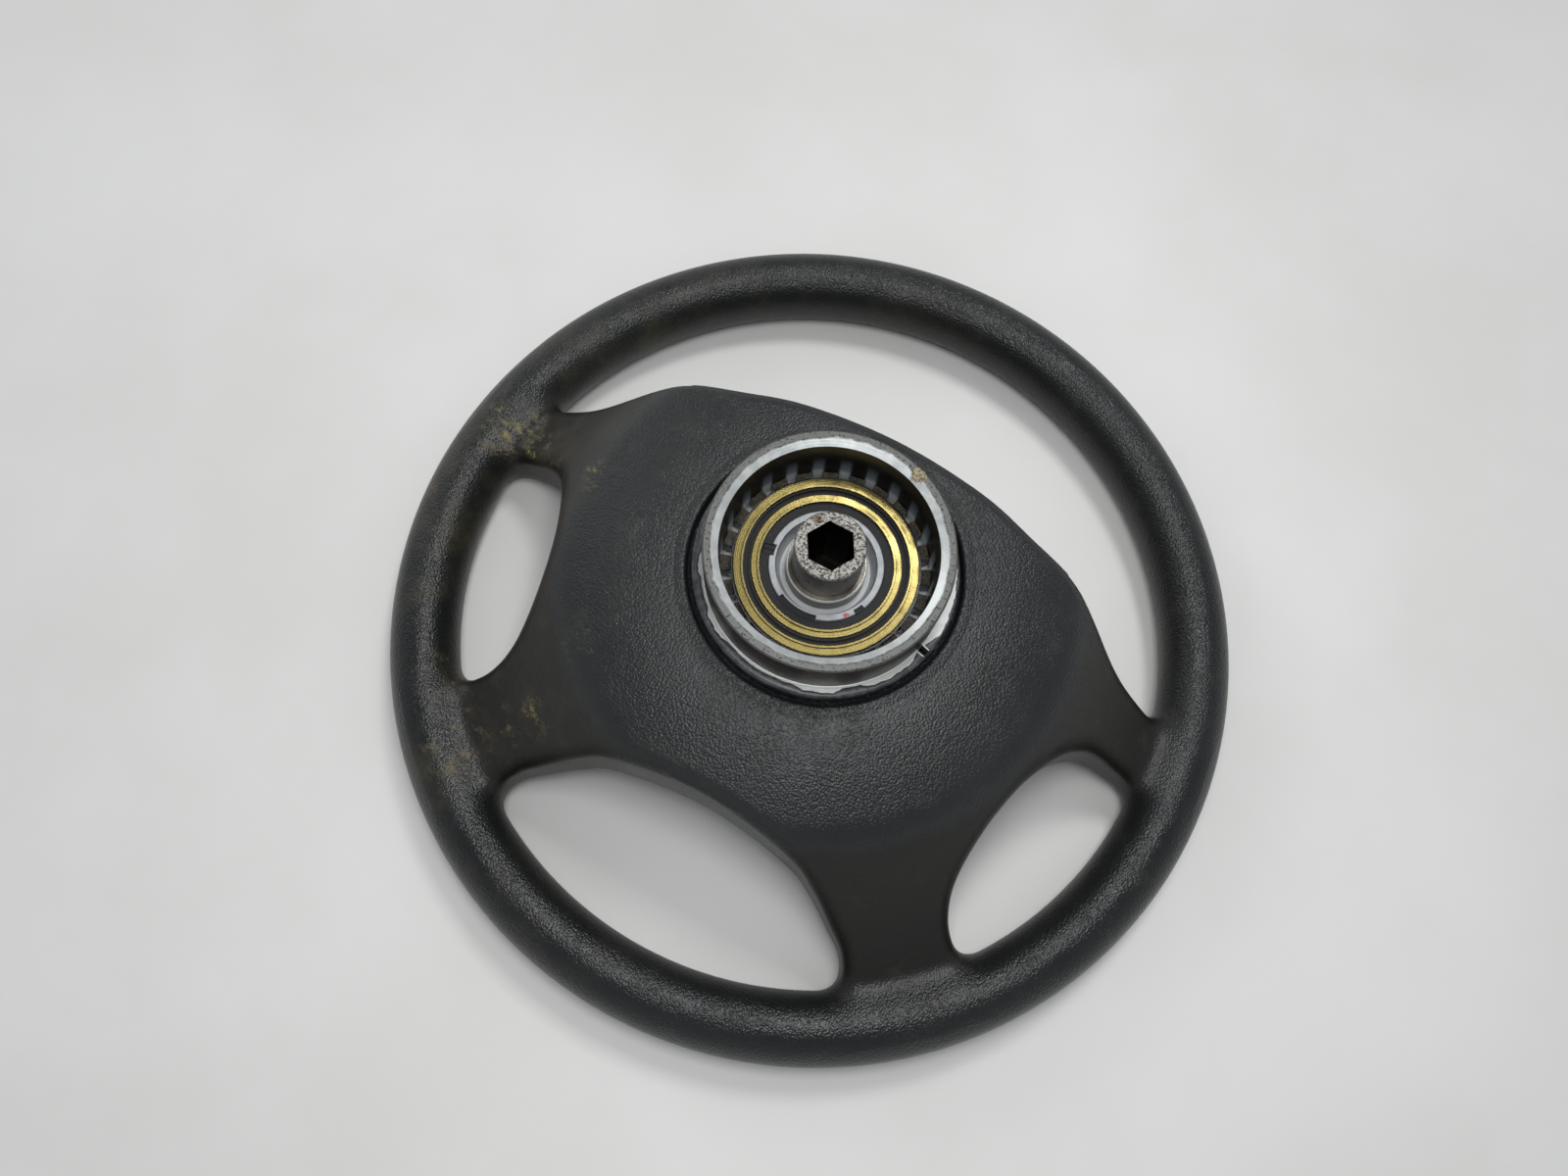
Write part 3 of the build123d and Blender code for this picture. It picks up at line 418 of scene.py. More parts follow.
def foam_skin():
    """Integral-skin polyurethane foam, moulded against a leather-grained tool: dark, semi-matt,
    pebbled on the rim and plateau, worn smooth and brown on the spokes, with ochre dust."""
    material, tree, shader, place = start("polyurethane_foam_skin", IOR=1.49, Specular_IOR_Level=0.38)
    radius = polar_parts(tree, place)[0]
    loose = add(tree, "Math", add(tree, "TexNoise", place, 1 / (26 * MM), 3.0, 0.55), 0.006, radius,
                operation="MULTIPLY_ADD")
    plateau = zone(tree, (loose, 135.5 * MM, 130 * MM))
    rim = zone(tree, (loose, 182 * MM, 206 * MM))
    grained = add(tree, "Math", plateau, rim, operation="MAXIMUM")
    # pebbles of the grain, drawn 1.1 mm across so that they show, with creases between them
    warp = add(tree, "TexNoise", place, 0.4 / MM, 2.0, out="Color")
    shifted = add(tree, "VectorMath", warp, (0.0007, 0.0007, 0.0007), place, operation="MULTIPLY_ADD")
    pebbles = add(tree, "TexVoronoi", shifted, 0.88 / MM, feature="F1")
    creases = add(tree, "TexNoise", place, 1 / (2.0 * MM), 4.0, 0.6)
    relief = add(tree, "Math", creases, 0.9, pebbles, operation="MULTIPLY_ADD")
    patchy = add(tree, "TexNoise", place, 1 / (60 * MM), 4.0, 0.55)
    rubbed = add(tree, "TexNoise", place, 1 / (17 * MM), 5.0, 0.62)
    strength = add(tree, "Math", add(tree, "Mix", grained, 0.40, 0.85, data_type="FLOAT"),
                   add(tree, "MapRange", rubbed, 0.3, 0.65, 0.6, 1.1), operation="MULTIPLY")
    bump = add(tree, "Bump", {"Height": relief, "Distance": -0.36 * MM, "Strength": strength})
    tree.links.new(bump, shader.inputs["Normal"])
    # colour: spokes brown-black, rim blue-black, plateau a lighter grey, paler where it is rubbed
    shade = add(tree, "Mix", rim, linear("#151411"), linear("#17191a"), data_type="RGBA")
    shade = add(tree, "Mix", plateau, shade, linear("#1b1e1f"), data_type="RGBA")
    tone = add(tree, "MapRange", patchy, 0.3, 0.7, 0.84, 1.18)
    shade = add(tree, "VectorMath", {0: shade, "Scale": tone}, operation="SCALE")
    bald = zone(tree, (rubbed, 0.54, 0.74))
    bald = add(tree, "Math", bald, 0.35, operation="MULTIPLY")
    shade = add(tree, "Mix", bald, shade, linear("#33322d"), data_type="RGBA")
    # ochre dust, caught on the tops of the grain and drawn out in streaks
    turned = add(tree, "Mapping",
                 {"Vector": place, "Rotation": (0, 0, radians(38)), "Scale": (1.0, 2.0, 1.0)})
    streaks = zone(tree, (add(tree, "TexNoise", turned, 1 / (11 * MM), 6.0, 0.68), 0.47, 0.66))
    clumps = zone(tree, (add(tree, "TexNoise", place, 1 / (2.2 * MM), 4.0, 0.7), 0.36, 0.60))
    patches = 0.0
    for centre, size, thick in dust_places:
        near = spot(tree, place, tuple(c * MM for c in centre), 0.25 * size * MM, size * MM)
        patch = add(tree, "Math", near, thick, operation="MULTIPLY")
        patches = add(tree, "Math", patches, patch, operation="MAXIMUM")
    dust = add(tree, "Math", add(tree, "Math", patches, streaks, operation="MULTIPLY"), clumps,
               operation="MULTIPLY")
    left = add(tree, "SeparateXYZ", place)
    streaky = add(tree, "TexNoise", place, 1 / (30 * MM), 6.0, 0.7)
    film = zone(tree, (left, 60 * MM, -190 * MM), (streaky, 0.44, 0.80))
    film = add(tree, "Math", film, 0.12, operation="MULTIPLY")
    film = add(tree, "Math", film, add(tree, "Mix", plateau, 1.0, 0.2, data_type="FLOAT"),
               operation="MULTIPLY")
    haze = add(tree, "Math", dust, film, operation="MAXIMUM")
    shade = add(tree, "Mix", haze, shade, linear("#8b8057"), data_type="RGBA")
    rough = add(tree, "MapRange", patchy, 0.3, 0.7, 0.26, 0.33)
    rough = add(tree, "Mix", grained, add(tree, "Math", rough, 0.12, operation="ADD"), rough,
                data_type="FLOAT")
    rough = add(tree, "Mix", plateau, rough, add(tree, "Math", rough, 0.07, operation="ADD"),
                data_type="FLOAT")
    rough = add(tree, "Mix", haze, rough, 0.85, data_type="FLOAT")
    finish_surface(tree, shader, shade, rough)
    return material


def flash_film():
    """Thin film of foam that crept over the flange: slate grey, smooth, a little glossy."""
    material, tree, shader, place = start("polyurethane_flash", IOR=1.49)
    lumps = add(tree, "TexNoise", place, 1 / (4 * MM), 4.0, 0.55)
    shade = add(tree, "Mix", zone(tree, (lumps, 0.35, 0.7)), linear("#25272a"), linear("#43464a"),
                data_type="RGBA")
    rough = add(tree, "Mix", lumps, 0.28, 0.5, data_type="FLOAT")
    finish_surface(tree, shader, shade, rough,
                   height=add(tree, "TexNoise", place, 1 / (1.3 * MM), 3.0, 0.55), depth=0.12)
    return material


def cast_alloy():
    """Die-cast aluminium: bright where it is machined, dull and pitted on the worn end of the
    collar, browned by old grease on its walls, with painted shade and painted reflections in the bore
    and a painted-bright bowl; a dab of red paint and a scrap of paper are left."""
    material, tree, shader, place = start("die_cast_aluminium", Metallic=1.0)
    radius, z = polar_parts(tree, place)
    grains = add(tree, "TexNoise", place, 1 / (0.5 * MM), 4.0, 0.7)
    blotches = add(tree, "TexNoise", place, 1 / (5 * MM), 5.0, 0.62)
    wander = add(tree, "Math", add(tree, "TexNoise", place, 1 / (6 * MM), 4.0, 0.55), 0.0024, radius,
                 operation="MULTIPLY_ADD")
    # turned rings, drawn 1.2 mm apart so that they show (a wave is 0.314 long at scale 1)
    lathe_marks = add(tree, "TexWave", place, 0.26 / MM, 0.6, 2.0, out="Fac", wave_type="RINGS",
                      rings_direction="Z")
    bare = add(tree, "Mix", zone(tree, (blotches, 0.35, 0.7)),
               linear("#d6dada"), linear("#e6e9e8"), data_type="RGBA")
    # worn end of the collar
    end = zone(tree, (z, collar_top - 1.3 * MM, collar_top - 0.7 * MM), (wander, 54.2 * MM, 55.3 * MM))
    pits = zone(tree, (add(tree, "TexNoise", place, 1 / (1.3 * MM), 5.0, 0.72), 0.56, 0.66))
    scuffed = add(tree, "Mix", pits, linear("#6c6d6b"), linear("#2c2a27"), data_type="RGBA")
    shade = add(tree, "Mix", end, bare, scuffed, data_type="RGBA")
    # browned wall above the flange, and the bore, which carries painted shade
    outside = zone(tree, (radius, 57.15 * MM, 57.35 * MM), (z, 116.8 * MM, 117.8 * MM))
    bore = zone(tree, (radius, 50.3 * MM, 50.12 * MM), (radius, 49 * MM, 49.7 * MM),
                (z, 104 * MM, 108 * MM))
    grease = add(tree, "Mix", zone(tree, (blotches, 0.3, 0.7)),
                 linear("#1a1711"), linear("#352f25"), data_type="RGBA")
    shade = add(tree, "Mix", outside, shade, grease, data_type="RGBA")
    # painted shade and painted reflections: the bore is coloured black between bright stripes
    #     # that stand for reflections of the gaps in the carrier's fingers, brightest near the bottom
    x, y = (add(tree, "SeparateXYZ", place, out=axis) for axis in (0, 1))
    turn = add(tree, "Math", y, x, operation="ARCTAN2")
    pitch = add(tree, "Math", turn, 24 / (2 * pi), -2 / 15, operation="MULTIPLY_ADD")
    away = add(tree, "Math", pitch, 0.5, operation="PINGPONG")
    gap = zone(tree, (away, 0.27, 0.12), (z, 130 * MM, 110 * MM))
    glint = add(tree, "Mix", zone(tree, (z, 116.5 * MM, 111.5 * MM)),
                linear("#9aa5b0"), linear("#f2f6f8"), data_type="RGBA")
    painted_bore_shade_and_glints = add(tree, "Mix", gap, linear("#0d0e10"), glint, data_type="RGBA")
    shade = add(tree, "Mix", bore, shade, painted_bore_shade_and_glints, data_type="RGBA")
    # bowl's floor and corner: painted near-white, a painted highlight that keeps them bright in shade
    bowl_painted_bright = zone(tree, (z, 105 * MM, 103.6 * MM), (radius, 51 * MM, 50.4 * MM))
    shade = add(tree, "Mix", bowl_painted_bright, shade, linear("#f0f3f5"), data_type="RGBA")
    # flange: dull
    flange = zone(tree, (radius, 57.4 * MM, 57.6 * MM), (z, 117.4 * MM, 116.9 * MM))
    worn = add(tree, "Mix", blotches, linear("#8e908e"), linear("#b0b2b0"), data_type="RGBA")
    shade = add(tree, "Mix", flange, shade, worn, data_type="RGBA")
    # turret inside the bowl: satin grey, more even in its groove
    turret = zone(tree, (radius, 27.8 * MM, 27.4 * MM))
    satin = add(tree, "Mix", zone(tree, (blotches, 0.35, 0.7)),
                linear("#94989b"), linear("#a6aaad"), data_type="RGBA")
    groove = zone(tree, (radius, 22.6 * MM, 22.2 * MM), (z, 118.6 * MM, 111.5 * MM))
    satin = add(tree, "Mix", groove, satin, linear("#a4a6a8"), data_type="RGBA")
    shade = add(tree, "Mix", turret, shade, satin, data_type="RGBA")
    speck = add(tree, "Math",
                zone(tree, (add(tree, "TexNoise", place, 1 / (0.9 * MM), 4.0, 0.7), 0.66, 0.70)), 0.8,
                operation="MULTIPLY")
    shade = add(tree, "Mix", speck, shade, linear("#3b352b"), data_type="RGBA")
    # red paint mark on the turret's land, and a scrap of old paper on the collar's end
    ragged = add(tree, "VectorMath", add(tree, "TexNoise", place, 0.6 / MM, 4.0, out="Color"),
                 (0.0045, 0.0045, 0.0045), place, operation="MULTIPLY_ADD")
    paint = add(tree, "Math", spot(tree, ragged, (0.0217, -0.0147, 0.1207), 0.9 * MM, 1.5 * MM), 0.8,
                operation="MULTIPLY")
    shade = add(tree, "Mix", paint, shade, linear("#b5402f"), data_type="RGBA")
    scrap = spot(tree, ragged, (0.0214, 0.0531, 0.1452), 3.4 * MM, 4.2 * MM)
    paper = add(tree, "Mix", zone(tree, (add(tree, "TexNoise", place, 1 / (1.4 * MM), 4.0, 0.7), 0.4, 0.6)),
                linear("#5d5846"), linear("#a1957a"), data_type="RGBA")
    shade = add(tree, "Mix", scrap, shade, paper, data_type="RGBA")
    rough = add(tree, "Mix", zone(tree, (blotches, 0.3, 0.7)), 0.40, 0.50, data_type="FLOAT")
    rough = add(tree, "Mix", end, rough, 0.62, data_type="FLOAT")
    rough = add(tree, "Mix", outside, rough, 0.34, data_type="FLOAT")
    rough = add(tree, "Mix", bore, rough, 0.34, data_type="FLOAT")
    as_cast = add(tree, "Math", turret, flange, operation="MAXIMUM")
    rough = add(tree, "Mix", as_cast, rough, 0.52, data_type="FLOAT")
    rough = add(tree, "Mix", bowl_painted_bright, rough, 0.26, data_type="FLOAT")
    marks = add(tree, "Math", scrap, paint, operation="MAXIMUM")
    rough = add(tree, "Mix", marks, rough, 0.85, data_type="FLOAT")
    # paint, paper, grease, satin turret, painted-bright bowl and painted bore mirror less than bare metal
    greasy = add(tree, "Math", outside, 0.7, operation="MULTIPLY")
    dull = add(tree, "Math", marks, greasy, operation="MAXIMUM")
    inner = add(tree, "Math", add(tree, "Math", turret, bowl_painted_bright, operation="MAXIMUM"), bore,
                operation="MAXIMUM")
    inner = add(tree, "Math", inner, 0.8, operation="MULTIPLY")
    dull = add(tree, "Math", dull, inner, operation="MAXIMUM")
    metal = add(tree, "Math", 1.0, dull, operation="SUBTRACT")
    turned = add(tree, "Math", lathe_marks, 0.10, operation="MULTIPLY")
    gritty = add(tree, "Math", grains, 0.2, operation="MULTIPLY")
    pitted = add(tree, "Math", add(tree, "Math", pits, end, operation="MULTIPLY"), -1.4,
                 operation="MULTIPLY")
    relief = add(tree, "Math", turned, gritty, operation="ADD")
    relief = add(tree, "Math", relief, pitted, operation="ADD")
    relief = add(tree, "Math", relief, add(tree, "Math", scrap, 2.0, operation="MULTIPLY"), operation="ADD")
    finish_surface(tree, shader, shade, rough, metal, relief, 0.12)
    return material


def turned_steel():
    """Turned carbon steel: smooth grey sides with a film of oil, a hammered and pitted end, a painted
    highlight line round the shoulder, and a nearly black broached hexagon."""
    material, tree, shader, place = start("turned_carbon_steel", Metallic=1.0)
    radius, z = polar_parts(tree, place)
    top = casting_high.z + 2.5 * MM
    end = zone(tree, (z, top - 0.8 * MM, top - 0.5 * MM))
    # the shoulder's chamfer line, which gets a painted highlight
    lip = zone(tree, (z, 119.5 * MM, 119.9 * MM), (z, 120.9 * MM, 120.6 * MM),
               (radius, 18.1 * MM, 18.4 * MM))
    socket = zone(tree, (radius, 12.4 * MM, 12 * MM), (z, top + 0.1 * MM, top - 0.7 * MM))
    blotches = add(tree, "TexNoise", place, 1 / (5 * MM), 4.0, 0.55)
    side = add(tree, "Mix", zone(tree, (blotches, 0.3, 0.7)),
               linear("#484641"), linear("#5c5953"), data_type="RGBA")
    pits = zone(tree, (add(tree, "TexNoise", place, 1 / (1.0 * MM), 5.0, 0.75), 0.50, 0.62))
    worn = add(tree, "Mix", add(tree, "TexNoise", place, 1 / (1.6 * MM), 4.0, 0.55), linear("#777571"),
               linear("#979590"), data_type="RGBA")
    worn = add(tree, "Mix", pits, worn, linear("#45413b"), data_type="RGBA")
    stain = spot(tree, place, (-0.0112, 0.0085, 0.1455), 1.4 * MM, 3.4 * MM)
    worn = add(tree, "Mix", add(tree, "Math", stain, 0.7, operation="MULTIPLY"), worn, linear("#5a4230"),
               data_type="RGBA")
    shade = add(tree, "Mix", end, side, worn, data_type="RGBA")
    # painted highlight: the shoulder's chamfer line is coloured near-white
    shade = add(tree, "Mix", lip, shade, linear("#d0d0cc"), data_type="RGBA")
    shade = add(tree, "Mix", socket, shade, linear("#12100e"), data_type="RGBA")
    rough = add(tree, "Mix", end, add(tree, "Mix", blotches, 0.22, 0.38, data_type="FLOAT"), 0.52,
                data_type="FLOAT")
    # turning marks, drawn 1.3 mm apart so that they show
    lathe_marks = add(tree, "TexWave", place, 0.25 / MM, 0.4, 2.0, out="Fac", wave_type="BANDS",
                      bands_direction="Z")
    turned = add(tree, "Math", lathe_marks, 0.10, operation="MULTIPLY")
    turned = add(tree, "Math", turned, add(tree, "Math", 1.0, end, operation="SUBTRACT"),
                 operation="MULTIPLY")
    pitted = add(tree, "Math", add(tree, "Math", pits, end, operation="MULTIPLY"), -1.2,
                 operation="MULTIPLY")
    uneven = add(tree, "Math", add(tree, "TexNoise", place, 1 / (0.7 * MM), 4.0, 0.55), 0.3,
                 operation="MULTIPLY")
    relief = add(tree, "Math", add(tree, "Math", turned, pitted, operation="ADD"), uneven, operation="ADD")
    # the painted highlight line on the shoulder is also made less metallic
    metal = add(tree, "Math", 1.0, add(tree, "Math", lip, 0.6, operation="MULTIPLY"), operation="SUBTRACT")
    finish_surface(tree, shader, shade, rough, metal, relief, 0.12)
    return material


def brass():
    """Turned brass: yellow and mirror-bright where the contacts run, olive with tarnish beside it."""
    material, tree, shader, place = start("turned_brass", Metallic=1.0)
    blotches = add(tree, "TexNoise", place, 1 / (9 * MM), 5.0, 0.6)
    # turning marks, drawn 1 mm apart so that they show, and broader tracks where contacts ran
    rings = add(tree, "TexWave", place, 0.33 / MM, 0.35, 2.0, out="Fac", wave_type="RINGS",
                rings_direction="Z")
    tracks = add(tree, "TexWave", place, 0.12 / MM, 0.8, 3.0, out="Fac", wave_type="RINGS",
                 rings_direction="Z")
    tarnish = add(tree, "Math", zone(tree, (blotches, 0.36, 0.72)),
                  add(tree, "Mix", tracks, 0.45, 1.0, data_type="FLOAT"), operation="MULTIPLY")
    shade = add(tree, "Mix", tarnish, linear("#86794a"), linear("#4e472d"), data_type="RGBA")
    shade = add(tree, "Mix",
                zone(tree, (add(tree, "TexNoise", place, 1 / (1.0 * MM), 4.0, 0.7), 0.66, 0.72)), shade,
                linear("#3c3420"), data_type="RGBA")
    rough = add(tree, "Mix", tarnish, 0.22, 0.36, data_type="FLOAT")
    relief = add(tree, "Math", add(tree, "Math", rings, 0.16, operation="MULTIPLY"),
                 add(tree, "Math", add(tree, "TexNoise", place, 1 / (3.0 * MM), 3.0, 0.55), 0.12,
                     operation="MULTIPLY"), operation="ADD")
    finish_surface(tree, shader, shade, rough, None, relief, 0.06)
    return material


def nylon():
    """Glass-filled nylon: glossy black fingers and lands; its inner land is scuffed blue-grey, and
    the trough between the rings holds brown dust."""
    material, tree, shader, place = start("glass_filled_nylon", IOR=1.53, Specular_IOR_Level=0.35)
    radius, z = polar_parts(tree, place)
    trough = zone(tree, (radius, 35.3 * MM, 35.8 * MM), (radius, 39.1 * MM, 38.6 * MM))
    inner = zone(tree, (radius, 31.7 * MM, 31.3 * MM))
    dusty = zone(tree, (add(tree, "TexNoise", place, 1 / (0.9 * MM), 5.0, 0.72), 0.50, 0.66))
    shade = add(tree, "Mix", inner, linear("#0c0c0e"), linear("#16171a"), data_type="RGBA")
    for where, share, colour in ((trough, 0.8, "#2f2820"), (inner, 0.45, "#37352f")):
        dirt = add(tree, "Math", add(tree, "Math", dusty, where, operation="MULTIPLY"), share,
                   operation="MULTIPLY")
        shade = add(tree, "Mix", dirt, shade, linear(colour), data_type="RGBA")
    shade = add(tree, "Mix",
                zone(tree, (add(tree, "TexNoise", place, 1 / (1.3 * MM), 4.0, 0.7), 0.66, 0.70)), shade,
                linear("#5b5344"), data_type="RGBA")
    tops = zone(tree, (radius, 44.7 * MM, 45 * MM), (z, 110.8 * MM, 111.3 * MM))
    scuffed = zone(tree, (add(tree, "TexNoise", place, 1 / (1.6 * MM), 5.0, 0.7), 0.36, 0.62))
    scuffed = add(tree, "Math", add(tree, "Math", scuffed, tops, operation="MULTIPLY"), 0.8,
                  operation="MULTIPLY")
    shade = add(tree, "Mix", scuffed, shade, linear("#4a4531"), data_type="RGBA")
    matt = add(tree, "Math", add(tree, "Math", trough, inner, operation="MAXIMUM"), tops,
               operation="MAXIMUM")
    rough = add(tree, "Mix", matt, 0.16, 0.62, data_type="FLOAT")
    smears = add(tree, "Math", add(tree, "TexNoise", place, 1 / (3 * MM), 3.0, 0.55), 0.12,
                 operation="MULTIPLY")
    rough = add(tree, "Math", rough, smears, operation="ADD")
    finish_surface(tree, shader, shade, rough,
                   height=add(tree, "TexNoise", place, 1 / (0.7 * MM), 4.0, 0.55), depth=0.1)
    return material


def pad_skin():
    """Moulded thermoplastic skin: near-black, matt, with a fine even grain drawn 1 mm across."""
    material, tree, shader, place = start("moulded_thermoplastic", IOR=1.47)
    cells = add(tree, "TexVoronoi", place, 0.95 / MM, feature="F1")
    patchy = add(tree, "TexNoise", place, 1 / (35 * MM), 4.0, 0.55)
    shade = add(tree, "Mix", zone(tree, (patchy, 0.3, 0.7)),
                linear("#1c1d1f"), linear("#2a2b2d"), data_type="RGBA")
    shade = add(tree, "Mix",
                add(tree, "Math",
                    zone(tree, (add(tree, "TexNoise", place, 1 / (12 * MM), 5.0, 0.7), 0.58, 0.75)), 0.3,
                    operation="MULTIPLY"), shade, linear("#4c4a42"), data_type="RGBA")
    rough = add(tree, "Mix", patchy, 0.44, 0.62, data_type="FLOAT")
    finish_surface(tree, shader, shade, rough, height=cells, depth=-0.25, strength=0.5)
    return material


def zinc_plate():
    """Zinc-plated steel: pale, faintly yellow spangles with dull patches."""
    material, tree, shader, place = start("zinc_plated_steel", Metallic=1.0)
    spangle = add(tree, "TexVoronoi", place, 0.7 / MM, feature="F1", out="Color")
    tone = add(tree, "SeparateXYZ", spangle)
    shade = add(tree, "Mix", tone, linear("#a8a694"), linear("#c6c2aa"), data_type="RGBA")
    shade = add(tree, "Mix", zone(tree, (add(tree, "TexNoise", place, 1 / (3 * MM), 4.0, 0.55), 0.55, 0.7)),
                shade, linear("#7d776a"), data_type="RGBA")
    finish_surface(tree, shader, shade, add(tree, "Mix", tone, 0.28, 0.42, data_type="FLOAT"),
                   height=add(tree, "TexNoise", place, 1 / (0.6 * MM), 3.0, 0.55), depth=0.06)
    return material


def black_primer():
    """Electrocoat primer on pressed steel: satin black, thin and grey on high spots."""
    material, tree, shader, place = start("electrocoat_primer", IOR=1.5)
    thin = zone(tree, (add(tree, "TexNoise", place, 1 / (7 * MM), 5.0, 0.65), 0.55, 0.72))
    shade = add(tree, "Mix", thin, linear("#161617"), linear("#38383a"), data_type="RGBA")
    rough = add(tree, "Mix", add(tree, "TexNoise", place, 1 / (4 * MM), 3.0, 0.55), 0.35, 0.55,
                data_type="FLOAT")
    finish_surface(tree, shader, shade, rough,
                   height=add(tree, "TexNoise", place, 1 / (0.8 * MM), 4.0, 0.55), depth=0.08)
    return material


def mill_steel():
    """Hot-rolled steel rod: blue-grey mill scale with rust freckles."""
    material, tree, shader, place = start("hot_rolled_steel", Metallic=0.8)
    rust = zone(tree, (add(tree, "TexNoise", place, 1 / (3 * MM), 5.0, 0.7), 0.56, 0.68))
    shade = add(tree, "Mix", rust, linear("#5c6064"), linear("#6d4a33"), data_type="RGBA")
    finish_surface(tree, shader, shade, add(tree, "Mix", rust, 0.4, 0.8, data_type="FLOAT"),
                   height=add(tree, "TexNoise", place, 1 / (1.0 * MM), 3.0, 0.55), depth=0.1)
    return material


def spring_wire():
    """Drawn spring wire: bright, with drawing lines and a film of oil."""
    material, tree, shader, place = start("drawn_spring_wire", Metallic=1.0)
    lines = add(tree, "TexNoise", place, 1 / (0.8 * MM), 3.0, 0.55)
    shade = add(tree, "Mix", lines, linear("#6f7276"), linear("#9ea1a4"), data_type="RGBA")
    finish_surface(tree, shader, shade, add(tree, "Mix", lines, 0.2, 0.4, data_type="FLOAT"), height=lines,
                   depth=0.05)
    return material


def phenolic():
    """Paper phenolic: natural brown, with the fleck of its paper."""
    material, tree, shader, place = start("paper_phenolic", IOR=1.6)
    flat = add(tree, "Mapping", {"Vector": place, "Scale": (1.0, 1.0, 6.0)})
    fleck = add(tree, "TexNoise", flat, 1 / (1.2 * MM), 5.0, 0.65)
    shade = add(tree, "Mix", zone(tree, (fleck, 0.35, 0.7)),
                linear("#7a5532"), linear("#a07a4a"), data_type="RGBA")
    finish_surface(tree, shader, shade, add(tree, "Mix", fleck, 0.4, 0.6, data_type="FLOAT"), height=fleck,
                   depth=0.05)
    return material


def lead_pvc(name, dark, light):
    """Extruded PVC insulation: smooth, a little waxy, dulled by dust."""
    material, tree, shader, place = start(name, IOR=1.54)
    dust = add(tree, "TexNoise", place, 1 / (3 * MM), 4.0, 0.55)
    shade = add(tree, "Mix", zone(tree, (dust, 0.35, 0.7)),
                linear(dark), linear(light), data_type="RGBA")
    finish_surface(tree, shader, shade, add(tree, "Mix", dust, 0.3, 0.5, data_type="FLOAT"),
                   height=add(tree, "TexNoise", place, 1 / (0.8 * MM), 3.0, 0.55), depth=0.04)
    return material


def bench_paint():
    """Satin white bench paint: pale warm grey with faint broad patches."""
    material, tree, shader, place = start("satin_bench_paint", IOR=1.5)
    patchy = add(tree, "TexNoise", place, 1 / (220 * MM), 4.0, 0.55)
    shade = add(tree, "Mix", zone(tree, (patchy, 0.3, 0.7)),
                linear("#d6d6d3"), linear("#dddddb"), data_type="RGBA")
    finish_surface(tree, shader, shade, add(tree, "Mix", patchy, 0.42, 0.55, data_type="FLOAT"),
                   height=add(tree, "TexNoise", place, 1 / (14 * MM), 3.0, 0.55), depth=0.1)
    return material


# ------------------------------------------------------------------ pieces
foam = foam_skin()
points, quads, normals = foam_grip_mesh(2.0 * MM)
print("foam grip", len(points), "points", len(quads), "quads")
grip = mesh_object("foam_grip_skin", points, quads, foam, normals)
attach(grip, "wheel")
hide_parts("foam_grip")


def lip_section(angle):
    """Foam lip round the collar's groove; its radius wanders by a quarter of a millimetre."""
    section = np.array([
        (57.9, 108.5), (61.5, 108.45), (64.4, 108.6), (64.9, 109.3), (65.15, 111.0), (65.3, 112.5),
        (65.6, 113.4), (66.2, 113.95), (67.0, 114.15), (68.0, 114.05), (69.2, 113.8), (70.6, 113.62),
        (72.0, 113.3), (72.4, 112.4), (72.4, 106.5), (57.9, 106.5),
    ]) * MM
    wander = 0.25 * MM * ripple(angle, (2, 3, 5, 9, 17), 3)
    shape = np.repeat(section[None], len(angle), 0)
    shape[:, 2:10, 0] += wander[:, None]
    return shape[:, ::-1]


lip = lathe("foam_lip", lip_section, foam, 288)
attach(lip, "wheel")

# Bare metal left by the foam's flash on the flange: middle angle, half width, how far it reaches.
bare_strips = ((13, 25, 3.0), (-32, 15, 1.7), (-66, 11, 1.6), (-122, 9, 1.3), (-152, 6, 0.9),
               (-172, 8, 1.5), (150, 9, 0.7))


def flash_section(angle):
    """Film on the flange and over its edge; its inner edge is ragged and stays off the notch."""
    turn = np.degrees(angle)
    inner = 58.5 + 0.35 * ripple(angle, (7, 12, 19, 31, 47), 11)
    for middle, half, reach in bare_strips:
        away = np.abs((turn - middle + 180) % 360 - 180) / half
        inner += reach * np.clip(1.6 - 1.6 * away**2, 0, 1) * (
            1 + 0.25 * ripple(angle, (23, 37, 58, 90), 5)
        )
    inner += 0.12 * ripple(angle, (66, 101, 140), 21)
    notch = np.abs((turn + 14 + 180) % 360 - 180) < 2.4
    inner = np.where(notch, 62.2, np.minimum(inner, 62.1))
    top = flange_top / MM
    rows = [(inner, top - 0.05), (inner + 0.05, top + 0.12), (inner + 0.3, top + 0.22),
            (0.5 * (inner + 62.6), top + 0.26), (62.45 + 0 * inner, top + 0.1),
            (62.75 + 0 * inner, top - 0.4), (62.8 + 0 * inner, 108.9 + 0 * inner),
            (62.3 + 0 * inner, 108.9 + 0 * inner), (62.28 + 0 * inner, top - 0.7),
            (61.65 + 0 * inner, top - 0.05)]
    section = np.stack([np.stack([r, z + 0 * inner], -1) for r, z in rows], 1) * MM
    return section[:, ::-1]


flash = lathe("foam_flash", flash_section, flash_film(), 720)
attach(flash, "wheel")

